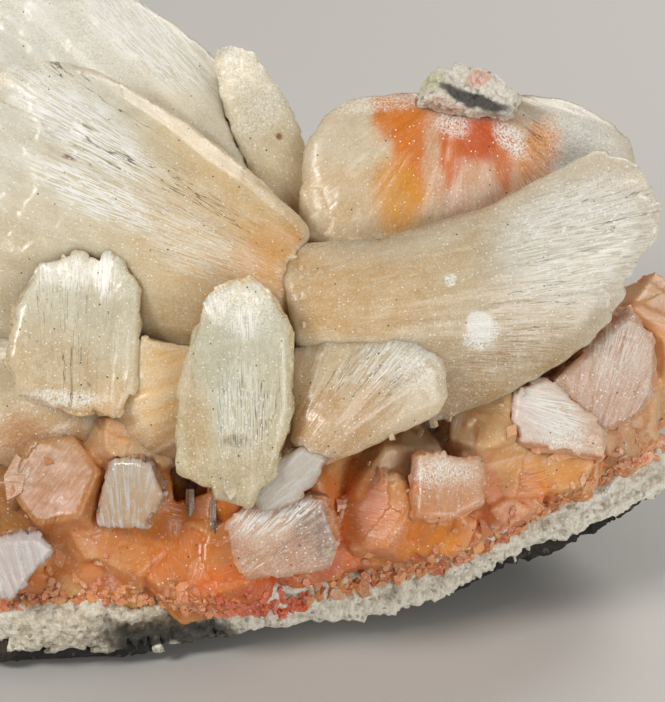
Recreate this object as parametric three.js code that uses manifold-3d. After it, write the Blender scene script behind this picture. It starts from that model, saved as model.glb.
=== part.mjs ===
// Stilbite on matrix: sheaves and single blades of cream stilbite that stand on an orange druse,
// which coats a chunk of basalt with a white granular crust between them.
// Millimetres, +Z up. The origin is on the rock's flat resting face.
import * as THREE from "three";
import { ConvexGeometry } from "three/addons/geometries/ConvexGeometry.js";
import { ImprovedNoise } from "three/addons/math/ImprovedNoise.js";
import { mergeVertices } from "three/addons/utils/BufferGeometryUtils.js";
import Module from "manifold-3d";

const wasm = await Module();
wasm.setup();

// The crystals stand in a plane that leans back from upright and faces the viewer.
// Their places are [across, up, out] in that plane.
const LEAN = THREE.MathUtils.degToRad(28);
const PLANE_PLACE = new THREE.Vector3(2, -14, 34.3);
const PLACE_GAP = 0.3;
const ROUNDING = 1e-4;

const ROCK_CENTRE = new THREE.Vector3(0, 0, 12);
const ROCK_STRETCH = new THREE.Vector3(1.8, 1, 0.9);
const ROCK_ROUGHNESS = 1.1;
const FOOT_REACH = 9;
const CRUST_THICKNESS = 2.1;
const CORE_THICKNESS = 8;
const DRUSE_AROUND = 33;

const plane = new THREE.Matrix4().makeRotationX(Math.PI / 2 - LEAN).setPosition(PLANE_PLACE);
const smooth = THREE.MathUtils.smoothstep;
const noise = new ImprovedNoise();
const vector = (values) => new THREE.Vector3(...values);

// The same numbers between 0 and 1 on every run.
function dice(seed) {
  let state = seed;
  return () => {
    state = (state * 1664525 + 1013904223) % 4294967296;
    return state / 4294967296;
  };
}

const between = (random, low, high) => low + (high - low) * random();

function solidOf(geometry, matrix = null) {
  const bare = geometry.clone();
  bare.deleteAttribute("normal");
  bare.deleteAttribute("uv");
  if (matrix) bare.applyMatrix4(matrix);
  const merged = mergeVertices(bare, ROUNDING);
  return new wasm.Manifold(
    new wasm.Mesh({
      numProp: 3,
      vertProperties: new Float32Array(merged.attributes.position.array),
      triVerts: new Uint32Array(merged.index.array),
    }),
  );
}

const joined = (solids) => solids.reduce((sum, solid) => sum.add(solid));

// The largest body alone, without scraps that a cut left behind.
function wholeOf(solid) {
  const bodies = solid.decompose();
  return bodies.reduce((best, body) => (body.volume() > best.volume() ? body : best));
}

// One plate: an outline seen from the front, with bevelled rims, tipped about its middle.
function plate({ outline, out, depth, bevel = 0.6, tip = [0, 0] }, grow = 0) {
  const middle = new THREE.Vector2();
  outline.forEach(([across, up]) => middle.add(new THREE.Vector2(across, up)));
  middle.divideScalar(outline.length);
  const turn = new THREE.Euler(THREE.MathUtils.degToRad(tip[0]), THREE.MathUtils.degToRad(tip[1]), 0);
  const pose = new THREE.Matrix4().makeRotationFromEuler(turn).setPosition(middle.x, middle.y, out);
  const points = [];
  for (const [across, up] of outline) {
    const spoke = new THREE.Vector2(across, up).sub(middle);
    const reach = spoke.length();
    const rim = spoke.clone().setLength(reach + grow * 1.4);
    const edge = spoke.clone().setLength(reach - bevel + grow * 1.4);
    const half = depth / 2 + grow;
    points.push(new THREE.Vector3(rim.x, rim.y, half - 0.7 * bevel));
    points.push(new THREE.Vector3(rim.x, rim.y, 0.7 * bevel - half));
    points.push(new THREE.Vector3(edge.x, edge.y, half));
    points.push(new THREE.Vector3(edge.x, edge.y, -half));
  }
  return solidOf(new ConvexGeometry(points.map((point) => point.applyMatrix4(pose))), plane);
}

const tablet = (plates, grow = 0) => joined(plates.map((shape) => plate(shape, grow)));

const sheafStations = [0, 0.3, 0.62, 0.92];

// How deep a sheaf is at a station along its blades, as a share of its belly.
function depthAlong(station, rimShare) {
  const swell = 0.72 + 0.28 * smooth(station, 0, 0.4);
  return swell * THREE.MathUtils.lerp(1, rimShare, smooth(station, 0.3, 0.95));
}

// A sheaf: flat-faced blades, side by side, that fan out from a short root line to a chisel-edged rim.
function sheaf(shape, grow = 0) {
  const { rootLine, belly, rimDepth, ragged, bow = 0 } = shape;
  const random = dice(shape.seed);
  const rim = new THREE.CatmullRomCurve3(shape.rim.map(vector));
  const [first, last] = rootLine.map(vector);
  const widths = Array.from({ length: shape.blades }, () => between(random, 0.65, 1.35));
  const total = widths.reduce((sum, width) => sum + width);
  const columns = [];
  let passed = 0;
  let reachBefore = 1;
  for (const width of widths) {
    const reach = 1 - ragged * random();
    const step = between(random, 0.14, 0.86);
    const notch = Math.min(reach, reachBefore) - 0.25 * ragged;
    columns.push({ share: passed / total, reach: notch, level: 0.93 });
    columns.push({ share: (passed + step * width) / total, reach, level: between(random, 0.97, 1.05) });
    passed += width;
    reachBefore = reach;
  }
  columns.push({ share: 1, reach: reachBefore - 0.25 * ragged, level: 0.93 });
  const middle = first.clone().add(last).add(rim.getPointAt(0)).add(rim.getPointAt(1)).divideScalar(4);
  const corners = [];
  const place = ({ share, reach, level }, station, facing) => {
    const root = first.clone().lerp(last, share);
    const tip = rim.getPointAt(THREE.MathUtils.clamp(share, 0, 1));
    const along = tip.clone().sub(root);
    const point = root.clone().addScaledVector(along, station * reach);
    const lateral = new THREE.Vector3(-along.y, along.x, 0).normalize();
    point.addScaledVector(lateral, bow * Math.sin(Math.PI * station) * (1 - 2 * share));
    const dome = 0.16 + 0.84 * (1 - Math.abs(2 * share - 1) ** 2.4);
    const depth = station === 1 ? 0 : 0.5 * belly * dome * level * depthAlong(station, rimDepth / belly);
    if (share === 0 || share === 1 || station === 0 || station === 1) {
      const outward = point.clone().sub(middle).setZ(0).setLength(grow * 1.5);
      point.add(outward);
    }
    point.z += facing * (station === 1 ? 0 : depth + grow);
    corners.push(point.x, point.y, point.z);
    return corners.length / 3 - 1;
  };
  const stations = [...sheafStations, 1];
  const fronts = columns.map((column) => stations.map((station) => place(column, station, 1)));
  const backs = columns.map((column, index) =>
    stations.map((station, row) => (station === 1 ? fronts[index][row] : place(column, station, -1))),
  );
  const faces = [];
  const face = (a, b, c) => {
    if (a !== b && b !== c && c !== a) faces.push(a, b, c);
  };
  const quad = (a, b, c, d) => {
    face(a, b, c);
    face(a, c, d);
  };
  for (let i = 0; i + 1 < columns.length; i++) {
    for (let k = 0; k + 1 < stations.length; k++) {
      quad(fronts[i][k], fronts[i][k + 1], fronts[i + 1][k + 1], fronts[i + 1][k]);
      quad(backs[i][k], backs[i + 1][k], backs[i + 1][k + 1], backs[i][k + 1]);
    }
    quad(fronts[i][0], fronts[i + 1][0], backs[i + 1][0], backs[i][0]);
  }
  const end = columns.length - 1;
  for (let k = 0; k + 1 < stations.length; k++) {
    quad(fronts[0][k], backs[0][k], backs[0][k + 1], fronts[0][k + 1]);
    quad(fronts[end][k], fronts[end][k + 1], backs[end][k + 1], backs[end][k]);
  }
  // Faces turn outward where the rim runs anticlockwise, seen from the front; a clockwise rim flips them.
  const spread = rim.getPointAt(0).sub(first).cross(rim.getPointAt(1).sub(last));
  const turned = spread.z > 0 ? faces : faces.toReversed();
  const geometry = new THREE.BufferGeometry();
  geometry.setAttribute("position", new THREE.Float32BufferAttribute(corners, 3));
  geometry.setIndex(turned);
  return solidOf(geometry, plane);
}

// The rock: flat fracture faces given by a normal and a distance from ROCK_CENTRE, roughened.
const rockFaces = [
  { normal: [0, 0, -1], distance: 13.5 },
  { normal: [0.38, 0.02, -0.93], distance: 14.9 },
  { normal: [0.06, -0.5, -0.86], distance: 15.8 },
  { normal: [0.262, -0.955, -0.1], distance: 19 },
  { normal: [0.05, -0.8, 0.6], distance: 12.5 },
  { normal: [-0.97, -0.1, 0.18], distance: 39 },
  { normal: [-0.86, 0.1, -0.5], distance: 38 },
  { normal: [0.96, 0.12, 0.22], distance: 37.5 },
  { normal: [0.05, 0.98, 0.16], distance: 19 },
  { normal: [0.02, 0.58, 0.81], distance: 22.5 },
  { normal: [0, -0.1, 0.99], distance: 22 },
  { normal: [-0.58, 0.05, 0.81], distance: 25 },
  { normal: [0.52, 0.1, 0.85], distance: 23.5 },
  { normal: [-0.7, 0.7, 0.1], distance: 29 },
  { normal: [0.74, 0.66, -0.05], distance: 30 },
];

// A foot of the rock juts out at the lower left.
const footDirection = new THREE.Vector3(-0.77, -0.58, -0.26).normalize();

function rockReach(direction) {
  let reach = Infinity;
  for (const { normal, distance } of rockFaces) {
    const facing = vector(normal).normalize().dot(direction);
    if (facing > 0) reach = Math.min(reach, distance / facing);
  }
  const at = direction.clone().multiplyScalar(reach * 0.11);
  const coarse = noise.noise(at.x + 3.1, at.y - 1.7, at.z + 5.2);
  const fine = noise.noise(at.x * 2.7, at.y * 2.7 + 9.3, at.z * 2.7);
  const foot = FOOT_REACH * smooth(direction.dot(footDirection), 0.9, 1);
  return reach + foot + ROCK_ROUGHNESS * (coarse + 0.55 * fine);
}

// How fully a layer covers the rock at a place, from bare at 0 to whole at 1.
// Layers lie on the front and the top, from a lower edge that rises to the right.
function cover(direction, reach, start) {
  const at = direction.clone().multiplyScalar(reach).add(ROCK_CENTRE);
  const wander = 1.6 * noise.noise(at.x * 0.16, at.y * 0.16, 4.4);
  const rise = Math.max(0, at.x - 10) * 0.36;
  const lift = smooth(at.z + wander - rise, start, start + 2.5);
  const front = smooth(0.55 * direction.z - direction.y + wander * 0.04, -0.3, -0.1);
  return lift * front;
}

function crustReach(direction) {
  const rock = rockReach(direction);
  const lumps = noise.noise(direction.x * 13, direction.y * 13, direction.z * 13);
  const thickness = CRUST_THICKNESS * (1 + 0.45 * lumps);
  return rock - 1 + (thickness + 1) * cover(direction, rock, 1.2);
}

function coreReach(direction) {
  const rock = rockReach(direction);
  const ends = direction.x ** 2;
  const thickness = CORE_THICKNESS * (1 - 0.45 * ends - 0.3 * Math.max(0, direction.z));
  return rock - 1 + (thickness + 1) * cover(direction, rock, 8.5);
}

function boulder(reachOf, detail, grow = 0) {
  const geometry = new THREE.IcosahedronGeometry(1, detail);
  const corners = geometry.attributes.position;
  const direction = new THREE.Vector3();
  for (let i = 0; i < corners.count; i++) {
    direction.fromBufferAttribute(corners, i).multiply(ROCK_STRETCH).normalize();
    const corner = direction.clone().multiplyScalar(reachOf(direction) + grow).add(ROCK_CENTRE);
    corners.setXYZ(i, corner.x, corner.y, corner.z);
  }
  return solidOf(geometry);
}

const underFloor = new THREE.Matrix4().makeTranslation(0, 0, -20);
const floorBlock = solidOf(new THREE.BoxGeometry(200, 200, 40), underFloor);

// Blocky crystals of the druse: six-sided tables with sloping sides, sunk in the layer.
const blockOutline = [
  [0.5, 0.06],
  [0.24, 0.5],
  [-0.3, 0.46],
  [-0.5, -0.08],
  [-0.22, -0.5],
  [0.3, -0.44],
];

function block({ place, normal, turn, length, width, depth }, frame = plane) {
  const points = [];
  for (const [x, y] of blockOutline) {
    points.push(new THREE.Vector3(x * length * 0.86, y * width * 0.86, 0));
    points.push(new THREE.Vector3(x * length * 1.1, y * width * 1.1, -depth));
  }
  const facing = new THREE.Quaternion().setFromUnitVectors(new THREE.Vector3(0, 0, 1), normal);
  const spin = new THREE.Quaternion().setFromAxisAngle(new THREE.Vector3(0, 0, 1), turn);
  const pose = new THREE.Matrix4().compose(place, facing.multiply(spin), new THREE.Vector3(1, 1, 1));
  return solidOf(new ConvexGeometry(points.map((point) => point.applyMatrix4(pose))), frame);
}

// The druse's front surface and its lower edge in the leaning plane.
const druseOut = (across, up) => 1.2 - 0.3 * Math.max(0, across - 2) - 0.4 * Math.max(0, -17 - up);
const druseEdge = new THREE.SplineCurve(
  [
    [-39, -28],
    [-33, -26],
    [-26, -23],
    [-20, -25.5],
    [-9, -27],
    [-3, -25],
    [4, -23],
    [13, -22],
    [20, -19.5],
    [26, -15],
    [32, -14.5],
    [36.5, -12],
  ].map(([across, up]) => new THREE.Vector2(across, up)),
);

// The large crystals in front, as [across, up], their size and which way they face.
const frontBlocks = [
  { at: [-14.5, -21.5], size: [17, 13], facing: [-0.12, 0.22], turn: 0.2, rise: 0.9 },
  { at: [-30.5, -14], size: [12, 11], facing: [-0.3, 0.3], turn: 1.1, rise: 1 },
  { at: [-35, -23.5], size: [8, 7], facing: [-0.2, -0.2], turn: 0.5, rise: 0 },
  { at: [-25.5, -19.5], size: [9, 7], facing: [0.4, 0.1], turn: 2, rise: 0.4 },
  { at: [-21, -8.5], size: [10, 12], facing: [0.35, 0.2], turn: 0.3, rise: 1.6 },
  { at: [-2.2, -22.5], size: [11, 8], facing: [0.3, -0.25], turn: 0.1, rise: 0.2 },
  { at: [4.4, -17.5], size: [11, 9], facing: [-0.35, 0.15], turn: 0.9, rise: 0.4 },
  { at: [11.8, -20], size: [9.5, 6.5], facing: [0.1, -0.25], turn: 0.15, rise: 0.9 },
  { at: [20, -14.5], size: [10, 9], facing: [0.3, 0.1], turn: 2.2, rise: 0.6 },
  { at: [25.6, -12.6], size: [8, 6.5], facing: [-0.1, 0.2], turn: 0, rise: 1.4 },
  { at: [33, -8.6], size: [9, 10], facing: [0.45, 0.15], turn: 0.7, rise: 0.6 },
  { at: [17, -7.2], size: [11, 8], facing: [-0.2, 0.45], turn: 0.4, rise: 1.4 },
  { at: [-8.5, -14.5], size: [9, 8], facing: [0.15, 0.5], turn: 1.4, rise: 0.8 },
];

function druseBlocks() {
  const random = dice(71);
  const blocks = frontBlocks.map(({ at, size, facing, turn, rise }) =>
    block({
      place: new THREE.Vector3(...at, druseOut(...at) + rise),
      normal: new THREE.Vector3(...facing, 1).normalize(),
      turn,
      length: size[0],
      width: size[1],
      depth: 6,
    }),
  );
  const columns = 6;
  const rows = 2;
  for (let column = 0; column < columns; column++) {
    const edge = druseEdge.getPoint((column + 0.5) / columns);
    for (let row = 0; row < rows; row++) {
      const up = THREE.MathUtils.lerp(edge.y + 7, 0, row / (rows - 1)) + between(random, -1.2, 1.2);
      const across = edge.x + between(random, -2, 2);
      const tilt = [between(random, -0.6, 0.6), between(random, -0.45, 0.6)];
      blocks.push(
        block({
          place: new THREE.Vector3(across, up, druseOut(across, up) - between(random, 0.4, 1.6)),
          normal: new THREE.Vector3(...tilt, 1).normalize(),
          turn: between(random, 0, Math.PI),
          length: between(random, 13, 17),
          width: between(random, 11, 13),
          depth: 8,
        }),
      );
    }
  }
  // A second group stands on the top and the ends, evenly spread over the layer's surface.
  const world = new THREE.Matrix4();
  for (let i = 0; i < DRUSE_AROUND; i++) {
    const height = 1 - (2 * (i + 0.5)) / DRUSE_AROUND;
    const angle = i * Math.PI * (3 - Math.sqrt(5));
    const girth = Math.sqrt(1 - height * height);
    const direction = new THREE.Vector3(girth * Math.cos(angle), girth * Math.sin(angle), height);
    const jitter = new THREE.Vector3(random() - 0.5, random() - 0.5, random() - 0.5);
    const size = between(random, 11, 16);
    const reach = coreReach(direction) + between(random, 0.4, 1.6);
    if (cover(direction, rockReach(direction), 8.5) < 0.9) continue;
    if (direction.y < -0.5 || direction.z < -0.15) continue;
    blocks.push(
      block(
        {
          place: direction.clone().multiplyScalar(reach).add(ROCK_CENTRE),
          normal: direction.clone().addScaledVector(jitter, 0.9).normalize(),
          turn: between(random, 0, Math.PI),
          length: size,
          width: size * 0.8,
          depth: 7,
        },
        world,
      ),
    );
  }
  return blocks;
}

// Sheaves: the ends of the root line and the points of the rim run from the first blade to the last.
const sheaves = {
  back_sheaf: {
    seed: 5,
    rootLine: [
      [-4, 22, -11],
      [-8, 6, -10],
    ],
    rim: [
      [-19.5, 38.5, -12.5],
      [-26, 42.5, -13.5],
      [-35, 43.5, -13.5],
      [-43, 39.5, -13],
      [-46.5, 32, -12.5],
    ],
    blades: 9,
    belly: 10,
    rimDepth: 3.6,
    ragged: 0.06,
    bow: -0.8,
  },
  upper_fan: {
    seed: 11,
    rootLine: [
      [17.5, 28.6, -6],
      [11.8, 28.8, -6],
    ],
    rim: [
      [26.5, 28, -8],
      [32, 25.2, -8.5],
      [35.4, 20.4, -8.5],
      [31, 11, -8],
      [21, 4.5, -7],
      [10, 2.5, -5.5],
      [1, 5, -4.6],
      [-4, 12, -4.5],
      [-4.6, 19, -5],
      [-2.4, 24.8, -5.5],
      [1.6, 28, -6],
    ],
    blades: 12,
    belly: 7,
    rimDepth: 3.4,
    ragged: 0.06,
    bow: 0,
  },
  lower_left_sheaf: {
    seed: 23,
    rootLine: [
      [-11, 9, -2],
      [-11.5, -10, -2],
    ],
    rim: [
      [-42, 13, -3],
      [-46, 7, -3],
      [-46.5, 0, -3.5],
      [-44, -8, -4],
      [-36, -14, -4],
      [-28, -15, -3.6],
      [-21, -14.6, -3.2],
    ],
    blades: 9,
    belly: 10,
    rimDepth: 3.6,
    ragged: 0.06,
    bow: 0.5,
  },
  left_sheaf: {
    seed: 37,
    rootLine: [
      [-3, 13.6, -1.6],
      [-4, 0, -0.6],
    ],
    rim: [
      [-26.8, 31.4, -1.2],
      [-32, 32.7, -1],
      [-38, 30.6, -0.4],
      [-43, 24.5, 0.3],
      [-44.6, 16.5, 0.5],
      [-43, 8.5, 0],
      [-38.5, 2, -0.5],
    ],
    blades: 12,
    belly: 13,
    rimDepth: 5.4,
    ragged: 0.045,
    bow: -1.1,
  },
  right_fan: {
    seed: 53,
    rootLine: [
      [-2.2, -6, 1.4],
      [-5.6, 11, 0.6],
    ],
    rim: [
      [11.2, -8, -1.2],
      [17.5, -5.8, -1.8],
      [24.5, -2.2, -2],
      [29.8, 2, -2],
      [33.2, 7.6, -2],
      [36.2, 12.6, -2],
      [36.7, 17, -2],
      [34, 20.8, -1.8],
      [29.6, 22.4, -1.5],
    ],
    blades: 13,
    belly: 13,
    rimDepth: 3.4,
    ragged: 0.035,
    bow: 3,
  },
  middle_fan: {
    seed: 61,
    rootLine: [
      [-1.8, -12.6, 5.4],
      [-4.2, -10.4, 5.6],
    ],
    rim: [
      [12.6, -6.2, 4.6],
      [12.8, -1.8, 4.6],
      [8.2, 1.6, 5],
      [1.6, 2, 5.2],
      [-4.4, 0.8, 5.4],
    ],
    blades: 6,
    belly: 5.8,
    rimDepth: 2.6,
    ragged: 0.06,
    bow: 0,
  },
};

const tablets = {
  back_blade: [
    {
      outline: [
        [-13, 32.8],
        [-12.2, 34.2],
        [-9.6, 33.6],
        [-7.4, 30.4],
        [-5.2, 27.4],
        [-3.4, 24],
        [-2, 16],
        [-7, 15],
        [-10, 21.5],
        [-11.6, 26],
      ],
      out: -8.6,
      depth: 4,
      bevel: 0.9,
      tip: [0, 12],
    },
  ],
  left_blade: [
    {
      outline: [
        [-35.4, -1.2],
        [-34.4, 4.6],
        [-31.6, 9.2],
        [-27.6, 10.9],
        [-25, 9.6],
        [-24.6, -6],
        [-28, -6.6],
        [-33.8, -4.6],
      ],
      out: 4.4,
      depth: 4.8,
      bevel: 0.7,
      tip: [-6, 11],
    },
    {
      outline: [
        [-27.6, 9.4],
        [-23.4, 10.2],
        [-21, 7.2],
        [-21.4, -3.6],
        [-23.2, -7],
        [-27.4, -6.2],
      ],
      out: 3.6,
      depth: 4.6,
      bevel: 0.7,
      tip: [-4, -4],
    },
  ],
  centre_tablet: [
    {
      outline: [
        [-14.6, -8],
        [-14.9, 0.5],
        [-13, 5.8],
        [-10.2, 7.7],
        [-7, 6.6],
        [-4.8, 2.4],
        [-4.5, -6.4],
        [-6.2, -13],
        [-9, -16.6],
        [-12.4, -15.6],
      ],
      out: 7.4,
      depth: 4.6,
      bevel: 0.8,
      tip: [5, -5],
    },
    {
      outline: [
        [-16.4, -13],
        [-16, -4],
        [-14.6, 2.4],
        [-11.6, 3],
        [-11, -12],
        [-13, -14.4],
      ],
      out: 6.2,
      depth: 4.4,
      bevel: 0.7,
      tip: [4, -12],
    },
  ],
  grey_blade: [
    {
      outline: [
        [-8.6, -15.6],
        [-6.4, -12],
        [-3.4, -10.2],
        [-0.6, -11.4],
        [-2.6, -14.4],
        [-5.4, -16.5],
        [-7.8, -16.9],
      ],
      out: 6,
      depth: 2.4,
      bevel: 0.5,
      tip: [10, 8],
    },
  ],
  pink_plate: [
    {
      outline: [
        [24, -3],
        [32.8, 4.8],
        [35.4, 1],
        [35.4, -4.4],
        [33.4, -7.2],
        [29.4, -8.8],
        [26, -6.4],
      ],
      out: -6.6,
      depth: 5,
      bevel: 0.5,
      tip: [4, 14],
    },
  ],
  pink_blade: [
    {
      outline: [
        [20, -5],
        [23.4, -3.2],
        [27, -6.6],
        [30.4, -9.2],
        [30, -11.6],
        [20.6, -10.2],
        [19.6, -8],
      ],
      out: -3.6,
      depth: 3.6,
      bevel: 0.6,
      tip: [-14, 10],
    },
  ],
  lower_plate: [
    {
      outline: [
        [-11.4, -18.8],
        [-8, -15.8],
        [-1, -16],
        [0.6, -20.4],
        [-0.4, -23],
        [-4, -24],
        [-9, -24.6],
        [-10.8, -21.6],
      ],
      out: 3.4,
      depth: 3,
      bevel: 0.5,
      tip: [8, -8],
    },
  ],
  small_plate: [
    {
      outline: [
        [9, -11.6],
        [16, -12],
        [16.4, -16.6],
        [12.4, -18.6],
        [8.8, -18.4],
      ],
      out: 1,
      depth: 3,
      bevel: 0.5,
      tip: [-8, 14],
    },
  ],
  white_blade: [
    {
      outline: [
        [-23.6, -11.6],
        [-19.6, -12],
        [-18.2, -15.4],
        [-20.4, -19],
        [-25.4, -19],
        [-25, -15],
      ],
      out: 2.8,
      depth: 2.6,
      bevel: 0.5,
      tip: [4, -16],
    },
  ],
  lilac_blade: [
    {
      outline: [
        [-38, -20],
        [-32.4, -20],
        [-30.6, -21.6],
        [-35.4, -27],
        [-39, -25.4],
      ],
      out: 2,
      depth: 2.6,
      bevel: 0.5,
      tip: [10, 14],
    },
  ],
  // A scrap of the pocket wall that stayed on the upper fan's root when the fan broke free.
  rock_chip: [
    {
      outline: [
        [9.6, 27.2],
        [10.6, 30],
        [13.5, 31],
        [17.4, 30.4],
        [20.4, 27.6],
        [19.4, 25.8],
        [14, 26.2],
      ],
      out: -3.6,
      depth: 6,
      bevel: 0.9,
      tip: [-10, 8],
    },
  ],
};

const looks = {
  basalt: { color: 0x34332f, roughness: 0.9, metalness: 0 },
  crust: { color: 0xcfcab4, roughness: 0.85, metalness: 0 },
  orange: { color: 0xcf7038, roughness: 0.4, metalness: 0 },
  cream: { color: 0xd9c19a, roughness: 0.35, metalness: 0 },
  pale: { color: 0xd6d2c2, roughness: 0.4, metalness: 0 },
  pink: { color: 0xcfa28c, roughness: 0.35, metalness: 0 },
};
const lookOf = {
  left_sheaf: "cream",
  lower_left_sheaf: "cream",
  upper_fan: "cream",
  right_fan: "cream",
  middle_fan: "cream",
  pink_plate: "pink",
  pink_blade: "pink",
  lower_plate: "pink",
  small_plate: "pink",
  rock_chip: "crust",
};

// Ground layers first, then crystals; each gives way to every crystal that comes after it.
const rock = boulder(rockReach, 4).subtract(floorBlock);
const rockRoom = boulder(rockReach, 4, PLACE_GAP);
const crustRoom = boulder(crustReach, 4, PLACE_GAP);
const crust = boulder(crustReach, 4).subtract(rockRoom).subtract(floorBlock);
const druse = joined([boulder(coreReach, 3), ...druseBlocks()]).subtract(crustRoom).subtract(rockRoom);

const layers = [
  { name: "basalt_matrix", look: "basalt", solid: rock },
  { name: "white_crust", look: "crust", solid: crust },
  { name: "orange_druse", look: "orange", solid: druse },
];
for (const [build, shapes] of [
  [sheaf, sheaves],
  [tablet, tablets],
]) {
  for (const [name, shape] of Object.entries(shapes)) {
    layers.push({ name, look: lookOf[name] ?? "pale", solid: build(shape), room: build(shape, PLACE_GAP) });
  }
}

function meshOf({ name, look, solid }) {
  const { numProp, vertProperties, triVerts } = solid.getMesh();
  const geometry = new THREE.BufferGeometry();
  const corners = new Float32Array((vertProperties.length / numProp) * 3);
  for (let i = 0; i < corners.length / 3; i++) {
    corners.set(vertProperties.subarray(i * numProp, i * numProp + 3), i * 3);
  }
  geometry.setAttribute("position", new THREE.BufferAttribute(corners, 3));
  geometry.setIndex(new THREE.BufferAttribute(new Uint32Array(triVerts), 1));
  geometry.computeVertexNormals();
  const material = new THREE.MeshStandardMaterial({ ...looks[look], flatShading: true });
  const mesh = new THREE.Mesh(geometry, material);
  mesh.name = name;
  return mesh;
}

const specimen = new THREE.Group();
specimen.name = "stilbite_on_matrix";
layers.forEach((layer, index) => {
  let { solid } = layer;
  for (const above of layers.slice(index + 1)) {
    if (above.room) solid = solid.subtract(above.room);
  }
  specimen.add(meshOf({ ...layer, solid: wholeOf(solid) }));
});

export default specimen;
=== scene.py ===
from math import cos, pi, radians, sin

import bmesh
import bpy
import numpy as np
from mathutils import Euler, Matrix, Vector
from mathutils.bvhtree import BVHTree


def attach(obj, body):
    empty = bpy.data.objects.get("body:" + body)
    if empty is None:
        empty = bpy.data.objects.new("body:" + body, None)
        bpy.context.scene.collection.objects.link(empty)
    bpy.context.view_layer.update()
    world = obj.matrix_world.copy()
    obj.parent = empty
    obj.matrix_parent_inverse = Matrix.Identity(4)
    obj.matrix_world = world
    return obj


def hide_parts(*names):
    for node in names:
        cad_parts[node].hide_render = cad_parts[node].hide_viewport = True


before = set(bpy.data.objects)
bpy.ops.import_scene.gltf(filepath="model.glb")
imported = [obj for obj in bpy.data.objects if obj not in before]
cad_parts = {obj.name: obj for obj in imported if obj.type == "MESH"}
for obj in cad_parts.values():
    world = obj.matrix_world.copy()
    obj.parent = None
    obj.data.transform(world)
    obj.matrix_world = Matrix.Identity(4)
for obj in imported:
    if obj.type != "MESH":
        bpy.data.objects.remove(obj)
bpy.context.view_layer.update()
mm = 0.001

# The crystals stand in a plane that leans back.
# Places in it are (across, up) or (across, up, out) in mm.
leaningPlane = {"place": (2, -14, 34.3), "lean": radians(28)}
planeOut, planeUp = np.array((0, -0.883, 0.469)), np.array((0, 0.469, 0.883))
rockCentre = np.array((0, 0, 12))  # mm

# Patterns and colours at points, in mm


def toPlane(points):  # points in mm, one row each
    x, y, z = (points - np.array(leaningPlane["place"])).T
    lean = leaningPlane["lean"]
    return np.stack([x, sin(lean) * y + cos(lean) * z, sin(lean) * z - cos(lean) * y], axis=1)


def fromPlane(across, up, out=0.0):
    lean = leaningPlane["lean"]
    offset = Vector((across, sin(lean) * up - cos(lean) * out, cos(lean) * up + sin(lean) * out))
    return (offset + Vector(leaningPlane["place"])) * mm


def scatter(cells, salt):  # one number from 0 to 1 for each cell, the same on every run
    mixed = np.sin(cells @ np.array((127.1, 311.7, 74.7)) + salt * 91.7) * 43758.5453
    return np.abs(np.modf(mixed)[0])


def clouds(points, size, salt):  # smooth bumps from -1 to 1, about one for each size
    spots = points / size + salt * 7.31
    cells = np.floor(spots)
    share = spots - cells
    share = share * share * (3 - 2 * share)
    total = np.zeros(len(points))
    for corner in np.ndindex(2, 2, 2):
        weight = np.where(np.array(corner) == 1, share, 1 - share).prod(axis=1)
        total += weight * scatter(cells + corner, salt)
    return total * 2 - 1


def facets(points, size, salt):
    # Flat faces that tilt at random, one for each cell: their height from about -1 to 1,
    # and the cell's own number.
    spots = points / size + salt * 3.7
    cells = np.floor(spots)
    nearest = np.full(len(points), 9.0)
    height = np.zeros(len(points))
    number = np.zeros(len(points))
    for step in np.ndindex(3, 3, 3):
        cell = cells + step - 1
        centre = cell + np.stack([scatter(cell, salt + k) for k in (1, 2, 3)], axis=1)
        away = spots - centre
        distance = (away ** 2).sum(axis=1)
        tilt = np.stack([scatter(cell, salt + k) * 2 - 1 for k in (4, 5, 6)], axis=1)
        closer = distance < nearest
        nearest = np.where(closer, distance, nearest)
        height = np.where(closer, (away * tilt).sum(axis=1) + scatter(cell, salt + 7) - 0.5, height)
        number = np.where(closer, scatter(cell, salt + 8), number)
    return height, number


def ease(low, high, values):
    share = np.clip((values - low) / (high - low), 0, 1)
    return share * share * (3 - 2 * share)


def shade(red, green, blue):  # a colour picked on screen, 0 to 255, as the renderer's linear light
    values = np.array((red, green, blue)) / 255
    return np.where(values <= 0.04045, values / 12.92, ((values + 0.055) / 1.055) ** 2.4)


def rgba(colour):
    return (*[float(c) for c in shade(*colour)], 1.0)


def toward(colours, colour, share):
    # Each point's colour, moved to one colour by the point's own share.
    return colours + (shade(*colour) - colours) * share[:, None]


def lumps(points, sizes, salt):  # flat-faced lumps of several sizes, one on the other
    return sum(height * facets(points, size, salt + k)[0] for k, (size, height) in enumerate(sizes))


# Meshes


def newPiece(name, mesh):
    piece = bpy.data.objects.new(name, mesh)
    bpy.context.scene.collection.objects.link(piece)
    return piece


def finished(piece):  # the mesh with its modifiers taken in
    graph = bpy.context.evaluated_depsgraph_get()
    mesh = bpy.data.meshes.new_from_object(piece.evaluated_get(graph))
    mesh.name = piece.name
    old = piece.data
    piece.modifiers.clear()
    piece.data = mesh
    bpy.data.meshes.remove(old)


crumbShare = 0.05  # of the piece's largest part


def dropCrumbs(piece):
    # Loose bits that the even mesh leaves beside thin edges are taken off.
    bm = bmesh.new()
    bm.from_mesh(piece.data)
    left = set(bm.verts)
    parts = []
    while left:
        part = [left.pop()]
        for vert in part:
            for edge in vert.link_edges:
                other = edge.other_vert(vert)
                if other in left:
                    left.remove(other)
                    part.append(other)
        parts.append(part)
    largest = max(len(part) for part in parts)
    crumbs = [vert for part in parts if len(part) < crumbShare * largest for vert in part]
    if crumbs:
        print(piece.name, "crumbs taken off", len(crumbs))
        bmesh.ops.delete(bm, geom=crumbs, context="VERTS")
        bm.to_mesh(piece.data)
    bm.free()


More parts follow.
